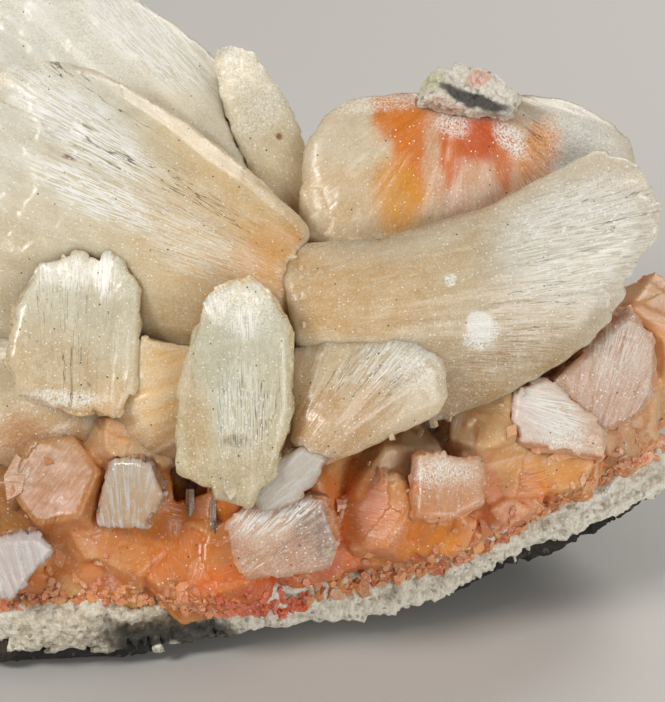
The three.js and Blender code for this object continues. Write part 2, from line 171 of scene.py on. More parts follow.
def regrown(node, name, voxel, soften):  # an even fine mesh over a CAD node's form
    bm = bmesh.new()
    bm.from_mesh(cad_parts[node].data)
    bmesh.ops.remove_doubles(bm, verts=bm.verts, dist=2e-6)
    mesh = bpy.data.meshes.new(name)
    bm.to_mesh(mesh)
    bm.free()
    piece = newPiece(name, mesh)
    remesh = piece.modifiers.new("even", "REMESH")
    remesh.mode = "VOXEL"
    remesh.voxel_size = voxel * mm
    smooth = piece.modifiers.new("soften", "SMOOTH")
    smooth.factor = 0.5
    smooth.iterations = soften
    finished(piece)
    dropCrumbs(piece)
    return piece


def pointsOf(mesh):
    points = np.empty(len(mesh.vertices) * 3, np.float32)
    mesh.vertices.foreach_get("co", points)
    return points.reshape(-1, 3).astype(float) / mm


def normalsOf(mesh):
    normals = np.empty(len(mesh.vertices) * 3, np.float32)
    mesh.vertex_normals.foreach_get("vector", normals)
    return normals.reshape(-1, 3).astype(float)


def setPoints(mesh, points):
    mesh.vertices.foreach_set("co", (points * mm).astype(np.float32).ravel())
    mesh.update()


def neighbourMean(mesh, values):
    ends = np.empty(len(mesh.edges) * 2, np.int32)
    mesh.edges.foreach_get("vertices", ends)
    first, second = ends.reshape(-1, 2).T
    count = len(mesh.vertices)
    total = np.zeros(values.shape)
    for a, b in ((first, second), (second, first)):
        for column in range(values.shape[1]):
            total[:, column] += np.bincount(a, values[b, column], count)
    meets = np.bincount(first, minlength=count) + np.bincount(second, minlength=count)
    return total / np.maximum(meets, 1)[:, None]


def sharpness(mesh, passes=3):  # above 0 on ridges and edges, below 0 in grooves, mm
    points = pointsOf(mesh)
    mean = points
    for _ in range(passes):
        mean = neighbourMean(mesh, mean)
    return ((points - mean) * normalsOf(mesh)).sum(axis=1)


def paint(mesh, name, colours):
    layer = mesh.attributes.new(name, "FLOAT_COLOR", "POINT")
    layer.data.foreach_set("color", np.c_[colours, np.ones(len(colours))].astype(np.float32).ravel())


def carry(mesh, name, vectors):
    layer = mesh.attributes.new(name, "FLOAT_VECTOR", "POINT")
    layer.data.foreach_set("vector", vectors.astype(np.float32).ravel())


def surfaced(mesh, look):
    mesh.shade_smooth()
    mesh.materials.clear()
    mesh.materials.append(materials[look])


def thinned(piece, hidden, ratio):
    # Fewer triangles where a neighbour covers the piece; hidden is 1 there and 0 where it shows.
    group = piece.vertex_groups.new(name="hidden")
    group.add(np.flatnonzero(hidden > 0.5).tolist(), 1.0, "REPLACE")
    decimate = piece.modifiers.new("thin", "DECIMATE")
    decimate.ratio = ratio
    decimate.vertex_group = "hidden"
    finished(piece)
    piece.vertex_groups.clear()


def zones(plane, settings, salt):
    # How strongly each zone, an oval with a wandering edge, holds at each point.
    wander = np.stack([clouds(plane, 3.5, salt), clouds(plane, 3.5, salt + 5)], axis=1)
    wander += 0.5 * np.stack([clouds(plane, 1.1, salt + 9), clouds(plane, 1.1, salt + 13)], axis=1)
    for zone in settings:
        turn = radians(zone.get("turn", 0))
        away = plane[:, :2] - np.array(zone["at"]) + wander * zone.get("ragged", 0.6)
        along = away[:, 0] * cos(turn) + away[:, 1] * sin(turn)
        beside = away[:, 1] * cos(turn) - away[:, 0] * sin(turn)
        size = zone["size"]
        inside = np.sqrt((along / size[0]) ** 2 + (beside / size[1]) ** 2)
        soft = zone.get("soft", 0.45)
        yield zone, zone.get("strength", 1) * (1 - ease(1 - soft, 1 + soft, inside))


def stainAndPaintedLight(at, size, colour, strength=1, **more):
    return {"at": at, "size": size, "colour": colour, "strength": strength, **more}


def mark(kind, at, size, strength=1, **more):
    return {"kind": kind, "at": at, "size": size, "strength": strength, **more}


markColumns = {"frostAndSparkle": 0, "glint": 1, "crack": 2}


def stainedAndPaintedLight(colours, plane, stainsAndPaintedLight, salt, hold=1.0):  # hold is how much of each patch, stain and painted light alike, each point takes
    for zone, amount in zones(plane, stainsAndPaintedLight, salt):
        colours = toward(colours, zone["colour"], amount * hold)
    return colours


def shadedGrooves(colours, edge, depth, strength, loss):
    # Painted shade in grooves: they darken, and loss is how much of its red, green and blue a full groove
    # can lose.
    deep = np.clip(-edge / depth, 0, 1) * strength
    return colours * (1 - deep[:, None] * np.array(loss))


def fibresOf(plane, apex):
    # Where each point lies in a fan of fibres: across them, along them, and how far out, mm.
    away = plane[:, :2] - np.array(apex)
    reach = np.hypot(away[:, 0], away[:, 1])
    angle = np.arctan2(away[:, 1], away[:, 0])
    middle = np.arctan2(np.sin(angle).mean(), np.cos(angle).mean())
    turned = np.angle(np.exp(1j * (angle - middle)))
    return np.stack([turned * reach.mean(), reach, plane[:, 2]], axis=1)


# Materials


class Nodes:
    # A short way to lay out a material's nodes.
    def __init__(self, name):
        self.material = bpy.data.materials.new(name)
        self.material.use_nodes = True
        self.tree = self.material.node_tree
        self.tree.nodes.clear()

    def add(self, kind, inputs=(), **fields):
        node = self.tree.nodes.new(kind)
        for field, value in fields.items():
            setattr(node, field, value)
        for socket, value in dict(inputs).items():
            if isinstance(value, bpy.types.NodeSocket):
                self.tree.links.new(value, node.inputs[socket])
            else:
                node.inputs[socket].default_value = value
        return node

    def place(self):
        return self.add("ShaderNodeTexCoord").outputs["Object"]

    def carried(self, name, kind="Color"):  # what the piece's mesh carries under a name
        return self.add("ShaderNodeAttribute", attribute_name=name).outputs[kind]

    def tint(self):
        return self.carried("tint")

    def parts(self, colour, mode="RGB"):
        return list(self.add("ShaderNodeSeparateColor", {0: colour}, mode=mode).outputs)

    def cells(self, vector, size, feature="F1"):
        inputs = {"Vector": vector, "Scale": 1 / size}
        return self.add("ShaderNodeTexVoronoi", inputs, feature=feature).outputs

    def math(self, operation, first, second=0.0, clamp=False):
        node = self.add("ShaderNodeMath", {0: first, 1: second}, operation=operation, use_clamp=clamp)
        return node.outputs[0]

    def times(self, first, second):
        return self.math("MULTIPLY", first, second)

    def ramp(self, value, low, high, to=(0.0, 1.0)):  # a share between two levels
        inputs = {"Value": value, "From Min": low, "From Max": high, "To Min": to[0], "To Max": to[1]}
        return self.add("ShaderNodeMapRange", inputs).outputs[0]

    def blend(self, share, first, second):
        node = self.add("ShaderNodeMix", data_type="RGBA")
        ends = ((node.inputs[0], share), (node.inputs[6], first), (node.inputs[7], second))
        for socket, value in ends:
            if isinstance(value, bpy.types.NodeSocket):
                self.tree.links.new(value, socket)
            else:
                socket.default_value = value
        return node.outputs[2]

    def noise(self, vector, size, detail=4, roughness=0.55):  # size in metres, or in the vector's own unit
        inputs = {"Vector": vector, "Scale": 1 / size, "Detail": detail, "Roughness": roughness}
        return self.add("ShaderNodeTexNoise", inputs).outputs["Fac"]

    def scaled(self, vector, scale, shift=(0, 0, 0)):
        inputs = {"Vector": vector, "Scale": scale, "Location": shift}
        return self.add("ShaderNodeMapping", inputs).outputs[0]

    def specks(self, vector, size, share, radius):
        # Dots of one size in a share of the cells.
        cells = self.cells(vector, size)
        dot = self.ramp(cells["Distance"], radius, radius * 0.6)
        chosen = self.parts(cells["Color"])[0]
        return self.times(dot, self.math("LESS_THAN", chosen, share))

    def bump(self, height, distance, strength=1.0, normal=None):
        inputs = {"Height": height, "Distance": distance, "Strength": strength}
        if normal:
            inputs["Normal"] = normal
        return self.add("ShaderNodeBump", inputs).outputs[0]

    def finish(self, inputs):
        # Burley scattering and the few bounces set below keep a final render short.
        principled = self.add("ShaderNodeBsdfPrincipled", inputs, subsurface_method="BURLEY")
        self.add("ShaderNodeOutputMaterial", {"Surface": principled.outputs[0]})
        return self.material


crystalShades = {
    "milk": (238, 230, 204),
    "paleFibre": (242, 232, 206),
    "paleGrain": (250, 242, 220),
    "frostAndSparkle": (246, 243, 234),
    "glint": (254, 253, 248),
    "net": (112, 98, 70),
    "hairline": (70, 48, 30),
    "dust": (252, 250, 244),
    "dirt": (66, 54, 42),
}


def crystalMaterial(name, look):
    shades = crystalShades
    nodes = Nodes(name)
    place, tint, fibre = nodes.place(), nodes.tint(), nodes.carried("fibre", "Vector")
    frostAndSparkle, glint, crack = nodes.parts(nodes.carried("marks"))

    streaks = nodes.noise(nodes.scaled(fibre, (1 / 0.32, 1 / 7, 1 / 3)), 1, 3, 0.6)
    fineStreaks = nodes.noise(nodes.scaled(fibre, (1 / 0.11, 1 / 2.6, 1 / 1.5)), 1, 1, 0.6)
    milk = nodes.noise(place, 2.6 * mm, 4, 0.62)
    grain = nodes.noise(place, 0.22 * mm, 1, 0.6)

    # Milky clouds, deeper honey clouds and pale fibres inside the crystal; strong stains stay clean.
    purity = nodes.parts(tint, "HSV")[1]
    clean = nodes.ramp(purity, 0.68, 0.92, (1.0, look["stainVeils"]))
    deeper = {"Color": tint, "Saturation": 1.16, "Value": 0.76}
    darker = nodes.add("ShaderNodeHueSaturation", deeper).outputs[0]
    depths = nodes.noise(nodes.scaled(fibre, (1 / 3, 1 / 6, 1 / 4), (5, 2, 8)), 1, 2, 0.6)
    colour = nodes.blend(nodes.ramp(depths, 0.5, 0.68, (0.0, look["depths"])), tint, darker)
    milkShare = nodes.times(clean, nodes.ramp(milk, 0.42, 0.72, (0.0, look["milk"])))
    colour = nodes.blend(milkShare, colour, rgba(shades["milk"]))
    veils = nodes.noise(nodes.scaled(fibre, (1 / 0.7, 1 / 3.2, 1 / 1.4), (9, 4, 1)), 1, 3, 0.65)
    veilShare = nodes.times(clean, nodes.ramp(veils, 0.54, 0.7, (0.0, look["veils"])))
    colour = nodes.blend(veilShare, colour, rgba(look["veilColour"]))
    colour = nodes.blend(nodes.ramp(streaks, 0.5, 0.3, (0.0, look["streaks"])), colour, darker)
    paleFibres = nodes.times(clean, nodes.ramp(fineStreaks, 0.55, 0.75, (0.0, look["streaks"])))
    colour = nodes.blend(paleFibres, colour, rgba(shades["paleFibre"]))
    colour = nodes.blend(nodes.ramp(grain, 0.47, 0.28, (0.0, look["mottle"])), colour, darker)
    paleGrain = nodes.times(clean, nodes.ramp(grain, 0.53, 0.72, (0.0, look["mottle"])))
    colour = nodes.blend(paleGrain, colour, rgba(shades["paleGrain"]))
    # Frost patches, which also hold painted sparkle, and glints, which are painted highlights, lighten the
    # colour.
    frostAndSparkleShare = nodes.times(frostAndSparkle, nodes.ramp(grain, 0.35, 0.6))
    colour = nodes.blend(frostAndSparkleShare, colour, rgba(shades["frostAndSparkle"]))
    glintShare = nodes.times(glint, nodes.ramp(fineStreaks, 0.44, 0.54))
    colour = nodes.blend(glintShare, colour, rgba(shades["glint"]))

    # A net of fine cracks, hairlines along the fibres, and dust. The white specks are dust and painted
    # sparkle; flecks of painted sparkle gather where frost and glints lie.
    wander = {"Vector": place, "Scale": 1 / (1.3 * mm), "Detail": 1}
    drift = {0: nodes.add("ShaderNodeTexNoise", wander).outputs["Color"], 1: (1.6 * mm,) * 3, 2: place}
    warped = nodes.add("ShaderNodeVectorMath", drift, operation="MULTIPLY_ADD").outputs[0]
    net = nodes.cells(warped, 1.5 * mm, "DISTANCE_TO_EDGE")["Distance"]
    crazing = nodes.ramp(veils, 0.42, 0.6, (0.0, look["crazing"]))
    netShare = nodes.times(nodes.ramp(net, 0.035, 0.008), crazing)
    colour = nodes.blend(netShare, colour, rgba(shades["net"]))
    line = nodes.noise(nodes.scaled(fibre, (1 / 1.3, 1 / 22, 1 / 9), (3, 1, 0)), 1, 3, 0.7)
    hair = nodes.ramp(nodes.math("ABSOLUTE", nodes.math("SUBTRACT", line, 0.5)), 0.011, 0.003)
    colour = nodes.blend(nodes.times(hair, crack), colour, rgba(shades["hairline"]))
    whiteDustAndSparkle = nodes.specks(place, 0.52 * mm, look["dust"], 0.2)
    flecks = nodes.specks(nodes.scaled(fibre, (1 / 0.26, 1 / 0.7, 1 / 0.5), (2, 1, 3)), 1, 0.36, 0.36)
    bright = nodes.ramp(nodes.math("ADD", frostAndSparkle, glint), 0.1, 0.8, (0.2, 1.0))
    sparkle = nodes.times(flecks, bright)
    whiteDustAndSparkle = nodes.math("MAXIMUM", whiteDustAndSparkle, sparkle)
    colour = nodes.blend(whiteDustAndSparkle, colour, rgba(shades["dust"]))
    shifted = nodes.scaled(place, (1, 1, 1), (0.013, 0.004, 0.009))
    darkDust = nodes.specks(shifted, 0.95 * mm, look["dirt"], 0.13)
    colour = nodes.blend(darkDust, colour, rgba(shades["dirt"]))

    rough = nodes.ramp(milk, 0.35, 0.7, look["roughness"])
    rough = nodes.math("ADD", rough, nodes.times(frostAndSparkleShare, 0.3))
    rough = nodes.math("ADD", rough, nodes.times(whiteDustAndSparkle, 0.3), clamp=True)
    lift = nodes.math("MULTIPLY_ADD", glint, 2.5)
    lift.node.inputs[2].default_value = 1.0
    normal = nodes.bump(nodes.times(streaks, lift), look["fibreHeight"] * mm)
    normal = nodes.bump(fineStreaks, 0.35 * look["fibreHeight"] * mm, 0.8, normal)
    normal = nodes.bump(grain, look["grainHeight"] * mm, 0.7, normal)
    return nodes.finish({
        "Base Color": colour,
        "Roughness": rough,
        "Normal": normal,
        "IOR": 1.5,
        "Subsurface Weight": look["subsurface"],
        "Subsurface Radius": look["radius"],
        "Subsurface Scale": look["depth"] * mm,
        "Coat Weight": look["coat"],
        "Coat Roughness": 0.2,
        "Coat IOR": 1.5,
        "Coat Normal": normal,
    })


crystalLook = {
    "milk": 0.3,
    "veils": 0.34,
    "veilColour": (244, 236, 212),
    "stainVeils": 0.12,
    "crazing": 0.1,
    "depths": 0.4,
    "streaks": 0.13,
    "dust": 0.4,
    "dirt": 0.14,
    "roughness": (0.26, 0.5),
    "fibreHeight": 0.042,
    "grainHeight": 0.008,
    "subsurface": 0.85,
    "radius": (1.0, 0.68, 0.4),
    "depth": 3.2,
    "mottle": 0.3,
    "coat": 0.3,
}
looks = {
    "cream": crystalLook,
    "white": {**crystalLook, "milk": 0.4, "radius": (1.0, 0.75, 0.55)},
    "tablet": {
        **crystalLook,
        "dirt": 0.34,
        "dust": 0.6,
        "coat": 0.25,
        "crazing": 0.22,
        "roughness": (0.18, 0.4),
    },
    "pink": {**crystalLook, "milk": 0.2, "radius": (1.0, 0.5, 0.34), "depth": 1.2, "coat": 0.35},
    "druse": {
        **crystalLook,
        "milk": 0.14,
        "veils": 0.5,
        "veilColour": (244, 192, 134),
        "stainVeils": 0.35,
        "mottle": 0.14,
        "depths": 0.5,
        "dust": 0.14,
        "dirt": 0.16,
        "grainHeight": 0.006,
        "subsurface": 0.65,
        "radius": (1.0, 0.36, 0.12),
        "coat": 0.16,
        "roughness": (0.28, 0.55),
    },
}
# The small ones are too thin for light to scatter below their surface.
looks["smallOrange"] = {**looks["druse"], "subsurface": 0.0}
looks["smallPale"] = {**crystalLook, "subsurface": 0.0}
crystalMaterials = {name: crystalMaterial("crystal_" + name, look) for name, look in looks.items()}


def crustMaterial():
    shades = {
        "white": (252, 250, 242),
        "dull": (178, 162, 126),
        "dark": (112, 104, 80),
        "gap": (150, 134, 104),
    }
    nodes = Nodes("granular_crust")
    place, tint = nodes.place(), nodes.tint()
    grains = nodes.cells(place, 0.42 * mm)
    fine = nodes.noise(place, 0.3 * mm, 5, 0.65)
    broad = nodes.noise(place, 1.8 * mm, 5, 0.6)
    own = nodes.parts(grains["Color"])
    lit = nodes.ramp(nodes.parts(tint, "HSV")[2], 0.1, 0.4)  # the painted shadow and the darker stains stay dark
    whiteShare = nodes.times(lit, nodes.ramp(own[0], 0.2, 1.0, (0.0, 0.5)))
    colour = nodes.blend(whiteShare, tint, rgba(shades["white"]))
    dull = nodes.times(lit, nodes.ramp(broad, 0.6, 0.72, (0.0, 0.5)))
    colour = nodes.blend(dull, colour, rgba(shades["dull"]))
    darkGrain = nodes.math("LESS_THAN", own[1], 0.04)
    colour = nodes.blend(nodes.times(darkGrain, 0.55), colour, rgba(shades["dark"]))
    gaps = nodes.times(lit, nodes.ramp(grains["Distance"], 0.5, 0.85, (0.0, 0.22)))
    colour = nodes.blend(gaps, colour, rgba(shades["gap"]))
    normal = nodes.bump(nodes.math("SUBTRACT", 1.0, grains["Distance"]), 0.16 * mm)
    normal = nodes.bump(fine, 0.07 * mm, 0.9, normal)
    return nodes.finish({
        "Base Color": colour,
        "Roughness": nodes.ramp(fine, 0.3, 0.7, (0.55, 0.85)),
        "Normal": normal,
        "Subsurface Weight": 0.15,
        "Subsurface Radius": (1.0, 0.8, 0.6),
        "Subsurface Scale": 0.8 * mm,
    })


def rockMaterial():
    shades = {
        "fresh": (34, 33, 32),
        "wornAndPaintedEdges": (58, 56, 52),
        "dusty": (86, 82, 74),
        "lath": (112, 108, 100),
        "rust": (112, 82, 54),
    }
    nodes = Nodes("basalt")
    place = nodes.place()
    broad = nodes.noise(place, 6 * mm, 6, 0.6)
    fine = nodes.noise(place, 0.5 * mm, 6, 0.7)
    own = nodes.parts(nodes.cells(nodes.scaled(place, (1.7, 0.7, 1.1)), 0.6 * mm)["Color"])
    colour = nodes.blend(nodes.ramp(broad, 0.35, 0.65), rgba(shades["fresh"]), rgba(shades["wornAndPaintedEdges"]))
    colour = nodes.blend(nodes.ramp(fine, 0.52, 0.7, (0.0, 0.6)), colour, rgba(shades["dusty"]))
    laths = nodes.times(nodes.math("LESS_THAN", own[0], 0.06), 0.5)
    colour = nodes.blend(laths, colour, rgba(shades["lath"]))
    rust = nodes.ramp(nodes.noise(place, 4 * mm, 5, 0.6), 0.6, 0.72, (0.0, 0.5))
    colour = nodes.blend(rust, colour, rgba(shades["rust"]))
    normal = nodes.bump(fine, 0.22 * mm)
    normal = nodes.bump(nodes.noise(place, 0.14 * mm, 3), 0.05 * mm, 0.8, normal)
    return nodes.finish({
        "Base Color": colour,
        "Roughness": nodes.ramp(fine, 0.3, 0.7, (0.6, 0.92)),
        "Normal": normal,
        "Specular IOR Level": 0.4,
    })


materials = {**crystalMaterials, "crust": crustMaterial(), "rock": rockMaterial()}


# Crystal pieces: each is grown over its CAD node, marked with fibres and steps, and coloured by place.

leftSheaf = {
    "node": "left_sheaf",
    "slot": "cream",
    "look": "cream",
    "voxel": 0.27,
    "soften": 55,
    "push": 0.5,
    "apex": (16.8, -1.2),
    "reach": (20, 60),
    "ridges": [(2.2, 30, 0.16), (0.8, 18, 0.05)],
    "steps": (5.5, 0.12),
    "paintedRimLight": (216, 196, 158),
    "paleEdges": 0.08,
    "teeth": (0.8, 1.8, 1.2),
    "colours": [
        (0.0, (222, 172, 104)), (0.3, (222, 188, 138)), (0.62, (218, 202, 168)), (1.0, (224, 220, 204)),
    ],
    "stainsAndPaintedLight": [
        stainAndPaintedLight((-4, 8), (7, 6), (224, 162, 92), 0.7),
        stainAndPaintedLight((-26, 3), (12, 4), (212, 184, 140), 0.5, turn=-10),
        stainAndPaintedLight((-30, 27.5), (9, 3.5), (222, 218, 202), 0.7, turn=-30),
        stainAndPaintedLight((-12, 21), (10, 2.6), (228, 196, 142), 0.6, turn=-38),
        stainAndPaintedLight((-35, 3), (5, 12), (204, 182, 142), 0.5),
        stainAndPaintedLight((-28.4, 21), (0.7, 0.4), (120, 78, 44)),
    ],
    "marks": [
        mark("glint", (-27, 24), (9, 3), turn=-38),
        mark("glint", (-26, 17), (8, 2.4), turn=-26),
        mark("glint", (-17, 13), (10, 3), 0.45, turn=-30),
        mark("crack", (-25, 27), (8, 1.4), 0.9, turn=-36),
        mark("crack", (-20, 19), (12, 2), 0.8, turn=-30),
        mark("frostAndSparkle", (-34, 30), (8, 3), 0.5, turn=-20),
    ],
}

backSheaf = {
    "node": "back_sheaf",
    "slot": "pale",
    "look": "white",
    "voxel": 0.34,
    "soften": 14,
    "push": 0.2,
    "apex": (22, -8),
    "reach": (30, 76),
    "ridges": [(2.2, 30, 0.2), (0.8, 18, 0.07)],
    "steps": (7, 0.12),
    "teeth": (0.8, 1.6, 1.2),
    "colours": [(0.0, (218, 200, 164)), (0.5, (226, 216, 192)), (1.0, (232, 232, 224))],
    "stainsAndPaintedLight": [],
    "marks": [
        mark("glint", (-21, 35), (9, 3), 0.8, turn=-40),
        mark("frostAndSparkle", (-30, 38), (12, 5), 0.6, turn=-30),
    ],
}

upperFan = {
    "node": "upper_fan",
    "slot": "cream",
    "look": "cream",
    "voxel": 0.24,
    "soften": 40,
    "push": 0.4,
    "apex": (14.2, 30),
    "reach": (3, 26),
    "ridges": [(2.0, 14, 0.14), (0.6, 10, 0.04)],
    "steps": (3.4, 0.1),
    "paleEdges": 0.1,
    "teeth": (0.86, 1.5, 0.9),
    "lobes": (0.78, 2.0, 0.35),
    "colours": [
        (0.0, (214, 190, 158)), (0.4, (218, 192, 152)), (0.7, (214, 194, 162)), (1.0, (214, 206, 188)),
    ],
    "stainsAndPaintedLight": [
        stainAndPaintedLight((0.6, 15.5), (6, 6), (222, 188, 142), 0.6),
        stainAndPaintedLight((26, 20), (7, 8), (206, 206, 200), 0.9),
        stainAndPaintedLight((2.5, 24), (5, 3.4), (222, 206, 176), 0.7),
        stainAndPaintedLight((15, 21.5), (7, 6.4), (222, 160, 120), 0.8, soft=0.3),
        stainAndPaintedLight((8.4, 22.4), (1.5, 5.4), (226, 118, 18), turn=4, ragged=0.5),
        stainAndPaintedLight((7.4, 25.6), (3, 2.8), (228, 128, 26), 0.9),
        stainAndPaintedLight((7.4, 17), (2.6, 4.4), (232, 160, 62), 0.85),
        stainAndPaintedLight((15.6, 23.8), (3.2, 2.8), (212, 88, 18), 0.95, ragged=0.8),
        stainAndPaintedLight((12.8, 22), (1.1, 3.6), (218, 110, 28), 0.85),
        stainAndPaintedLight((18.6, 21), (1, 4.4), (218, 120, 58), 0.85, ragged=0.5),
        stainAndPaintedLight((22.6, 21.5), (2.4, 4), (230, 142, 36), 0.9, turn=-20),
        stainAndPaintedLight((21.5, 16.5), (2.6, 1.8), (226, 168, 98), 0.6),
        stainAndPaintedLight((15, 16.5), (4, 1.6), (222, 186, 160), 0.6),
    ],
    "marks": [
        mark("frostAndSparkle", (19.4, 23), (2.6, 1.2), turn=-50, ragged=0.9),
        mark("frostAndSparkle", (13.4, 25), (1.6, 1.4), 0.9),
        mark("frostAndSparkle", (27, 22), (4.5, 6), 0.45),
        mark("glint", (25, 17), (5, 4), 0.5),
        mark("frostAndSparkle", (5, 27.5), (6, 1), 0.6),
        mark("crack", (22, 24), (1, 3), 0.8),
    ],
}

rightFan = {
    "node": "right_fan",
    "slot": "cream",
    "look": "cream",
    "voxel": 0.24,
    "soften": 45,
    "push": 0.5,
    "apex": (-22, 1),
    "reach": (18, 62),
    "ridges": [(2.4, 26, 0.16), (0.8, 14, 0.04)],
    "steps": (6, 0.12),
    "teeth": (0.86, 1.6, 0.9),
    "lobes": (0.93, 1.6, 0.25),
    "colours": [
        (0.0, (218, 176, 122)), (0.35, (208, 180, 138)), (0.65, (202, 182, 150)), (1.0, (208, 204, 192)),
    ],
    "stainsAndPaintedLight": [
        stainAndPaintedLight((3, 5), (7, 6), (218, 180, 130), 0.6),
        stainAndPaintedLight((8, 12.5), (8, 2.6), (216, 200, 172), 0.6, turn=12),
        stainAndPaintedLight((15, -1), (13, 6), (188, 162, 124), 0.6, turn=25),
        stainAndPaintedLight((18, -4), (9, 5), (178, 144, 100), 0.8, turn=25),
        stainAndPaintedLight((26, 12), (9, 6), (214, 208, 192), 0.7, turn=24),
        stainAndPaintedLight((20, -6.2), (9, 1.2), (190, 176, 158), 0.6, turn=22),
        stainAndPaintedLight((16, 2.4), (1.5, 1.5), (236, 232, 222), soft=0.2),
    ],
    "marks": [
        mark("frostAndSparkle", (16, 2), (1.8, 1.6), soft=0.2),
        mark("frostAndSparkle", (12.5, 7.4), (0.9, 0.9), soft=0.2),
        mark("frostAndSparkle", (27, 16), (9, 3), 0.45, turn=22),
        mark("frostAndSparkle", (20, -6), (9, 1.2), 0.6, turn=22),
        mark("glint", (27, 12), (8, 6), 0.6, turn=24),
        mark("glint", (22, 4), (9, 4), 0.25, turn=35),
        mark("crack", (22, 5), (7, 4), 0.6, turn=35),
        mark("crack", (30, 15), (5, 4), 0.6, turn=20),
    ],
}

lowerLeftSheaf = {
    "node": "lower_left_sheaf",
    "slot": "cream",
    "look": "cream",
    "voxel": 0.31,
    "soften": 30,
    "push": 0.4,
    "apex": (6, 4),
    "reach": (16, 52),
    "ridges": [(1.5, 20, 0.18), (0.7, 12, 0.08)],
    "steps": (5, 0.12),
    "teeth": (0.8, 1.8, 1.0),
    "colours": [(0.0, (222, 176, 118)), (0.5, (216, 184, 138)), (1.0, (218, 204, 176))],
    "bulges": [{"at": (-18, -2), "size": (7, 13), "height": 3.4, "soft": 0.5}],
    "stainsAndPaintedLight": [
        # Painted light: a lighter honey patch where this sheaf lies in the shaded hollow between the left
        # blade and the centre tablet.
        stainAndPaintedLight((-18, 1), (6, 11), (242, 200, 142), 0.95, soft=0.3),
        stainAndPaintedLight((-27, -12), (9, 4), (218, 162, 118), 0.7),
        stainAndPaintedLight((-34, -11), (7, 4), (196, 140, 88), 0.9),
        stainAndPaintedLight((-16.6, -10), (3, 3), (206, 150, 90), 0.6),
    ],
    "marks": [mark("glint", (-34, 6), (4, 4), 0.6)],
}

middleFan = {
    "node": "middle_fan",
    "slot": "cream",
    "look": "tablet",
    "voxel": 0.17,
    "soften": 30,
    "push": 0.4,
    "apex": (-9, -18),
    "reach": (8, 29),
    "ridges": [(1.1, 12, 0.12), (0.5, 7, 0.05)],
    "paintedRimLight": (212, 172, 122),
    "steps": (3, 0.1),
    "teeth": (0.84, 1.2, 0.7),
    "colours": [(0.0, (200, 148, 96)), (0.4, (208, 178, 136)), (1.0, (216, 200, 170))],
    "stainsAndPaintedLight": [
        stainAndPaintedLight((1, -8), (5, 3), (208, 166, 120), 0.7, turn=40),
        stainAndPaintedLight((9, -1.5), (4, 3), (214, 198, 168), 0.5),
    ],
    "marks": [
        mark("glint", (6, -1), (5, 2), 0.6, turn=20),
        mark("frostAndSparkle", (9, -2), (3, 2.4), 0.5),
        mark("crack", (3, -3), (5, 3), 0.7),
    ],
}

backBlade = {
    "node": "back_blade",
    "slot": "pale",
    "look": "white",
    "voxel": 0.22,
    "soften": 12,
    "push": 0.3,
    "apex": (6, 4),
    "reach": (14, 36),
    "ridges": [(1.3, 12, 0.16), (0.6, 8, 0.05)],
    "steps": (3, 0.12),
    "broken": 0.3,
    "teeth": (0.78, 1.2, 1.0),
    "lobes": (0.7, 1.4, 0.3),
    "colours": [(0.0, (214, 180, 132)), (0.45, (210, 194, 158)), (1.0, (218, 214, 198))],
    "stainsAndPaintedLight": [stainAndPaintedLight((-6.1, 24), (0.4, 0.35), (130, 84, 48), ragged=0.1)],
    "marks": [
        mark("frostAndSparkle", (-10, 32), (3, 4), 0.6, turn=-50),
        mark("frostAndSparkle", (-8, 27), (2.4, 4), 0.5, turn=-50),
    ],
}

leftBlade = {
    "node": "left_blade",
    "slot": "pale",
    "look": "tablet",
    "voxel": 0.21,
    "soften": 6,
    "push": 0.3,
    "apex": (-28, -42),
    "reach": (36, 54),
    "ridges": [(1.5, 14, 0.24), (0.6, 6, 0.07)],
    "steps": (4, 0.14),
    "paleEdges": 0.05,
    "paintedRimLight": (212, 184, 136),
    "broken": 0.3,
    "teeth": (0.78, 1.2, 1.7),
    "lobes": (0.8, 1.4, 0.35),
    "colours": [
        (0.0, (222, 186, 142)), (0.3, (218, 202, 168)), (0.7, (222, 218, 196)), (1.0, (230, 228, 212)),
    ],
    "stainsAndPaintedLight": [
        stainAndPaintedLight((-31, -1), (5, 3.4), (206, 178, 136), 0.6),
        stainAndPaintedLight((-24, 4), (3, 5), (206, 196, 168), 0.6),
    ],
    "marks": [
        mark("glint", (-31.5, 9), (1.6, 1.6)),
        mark("glint", (-28.2, 8.4), (1.6, 1.8)),
        mark("glint", (-25, 8), (1.4, 2.4)),
        # Painted highlight: white frost round the glints at the blade's top.
        mark("frostAndSparkle", (-29, 8.8), (6, 2), 0.7, ragged=0.8),
        mark("frostAndSparkle", (-30, -5), (5, 0.9), 0.9),
        mark("crack", (-28.2, -2), (2, 4)),
        mark("crack", (-30, 4), (5, 4), 0.5),
    ],
}

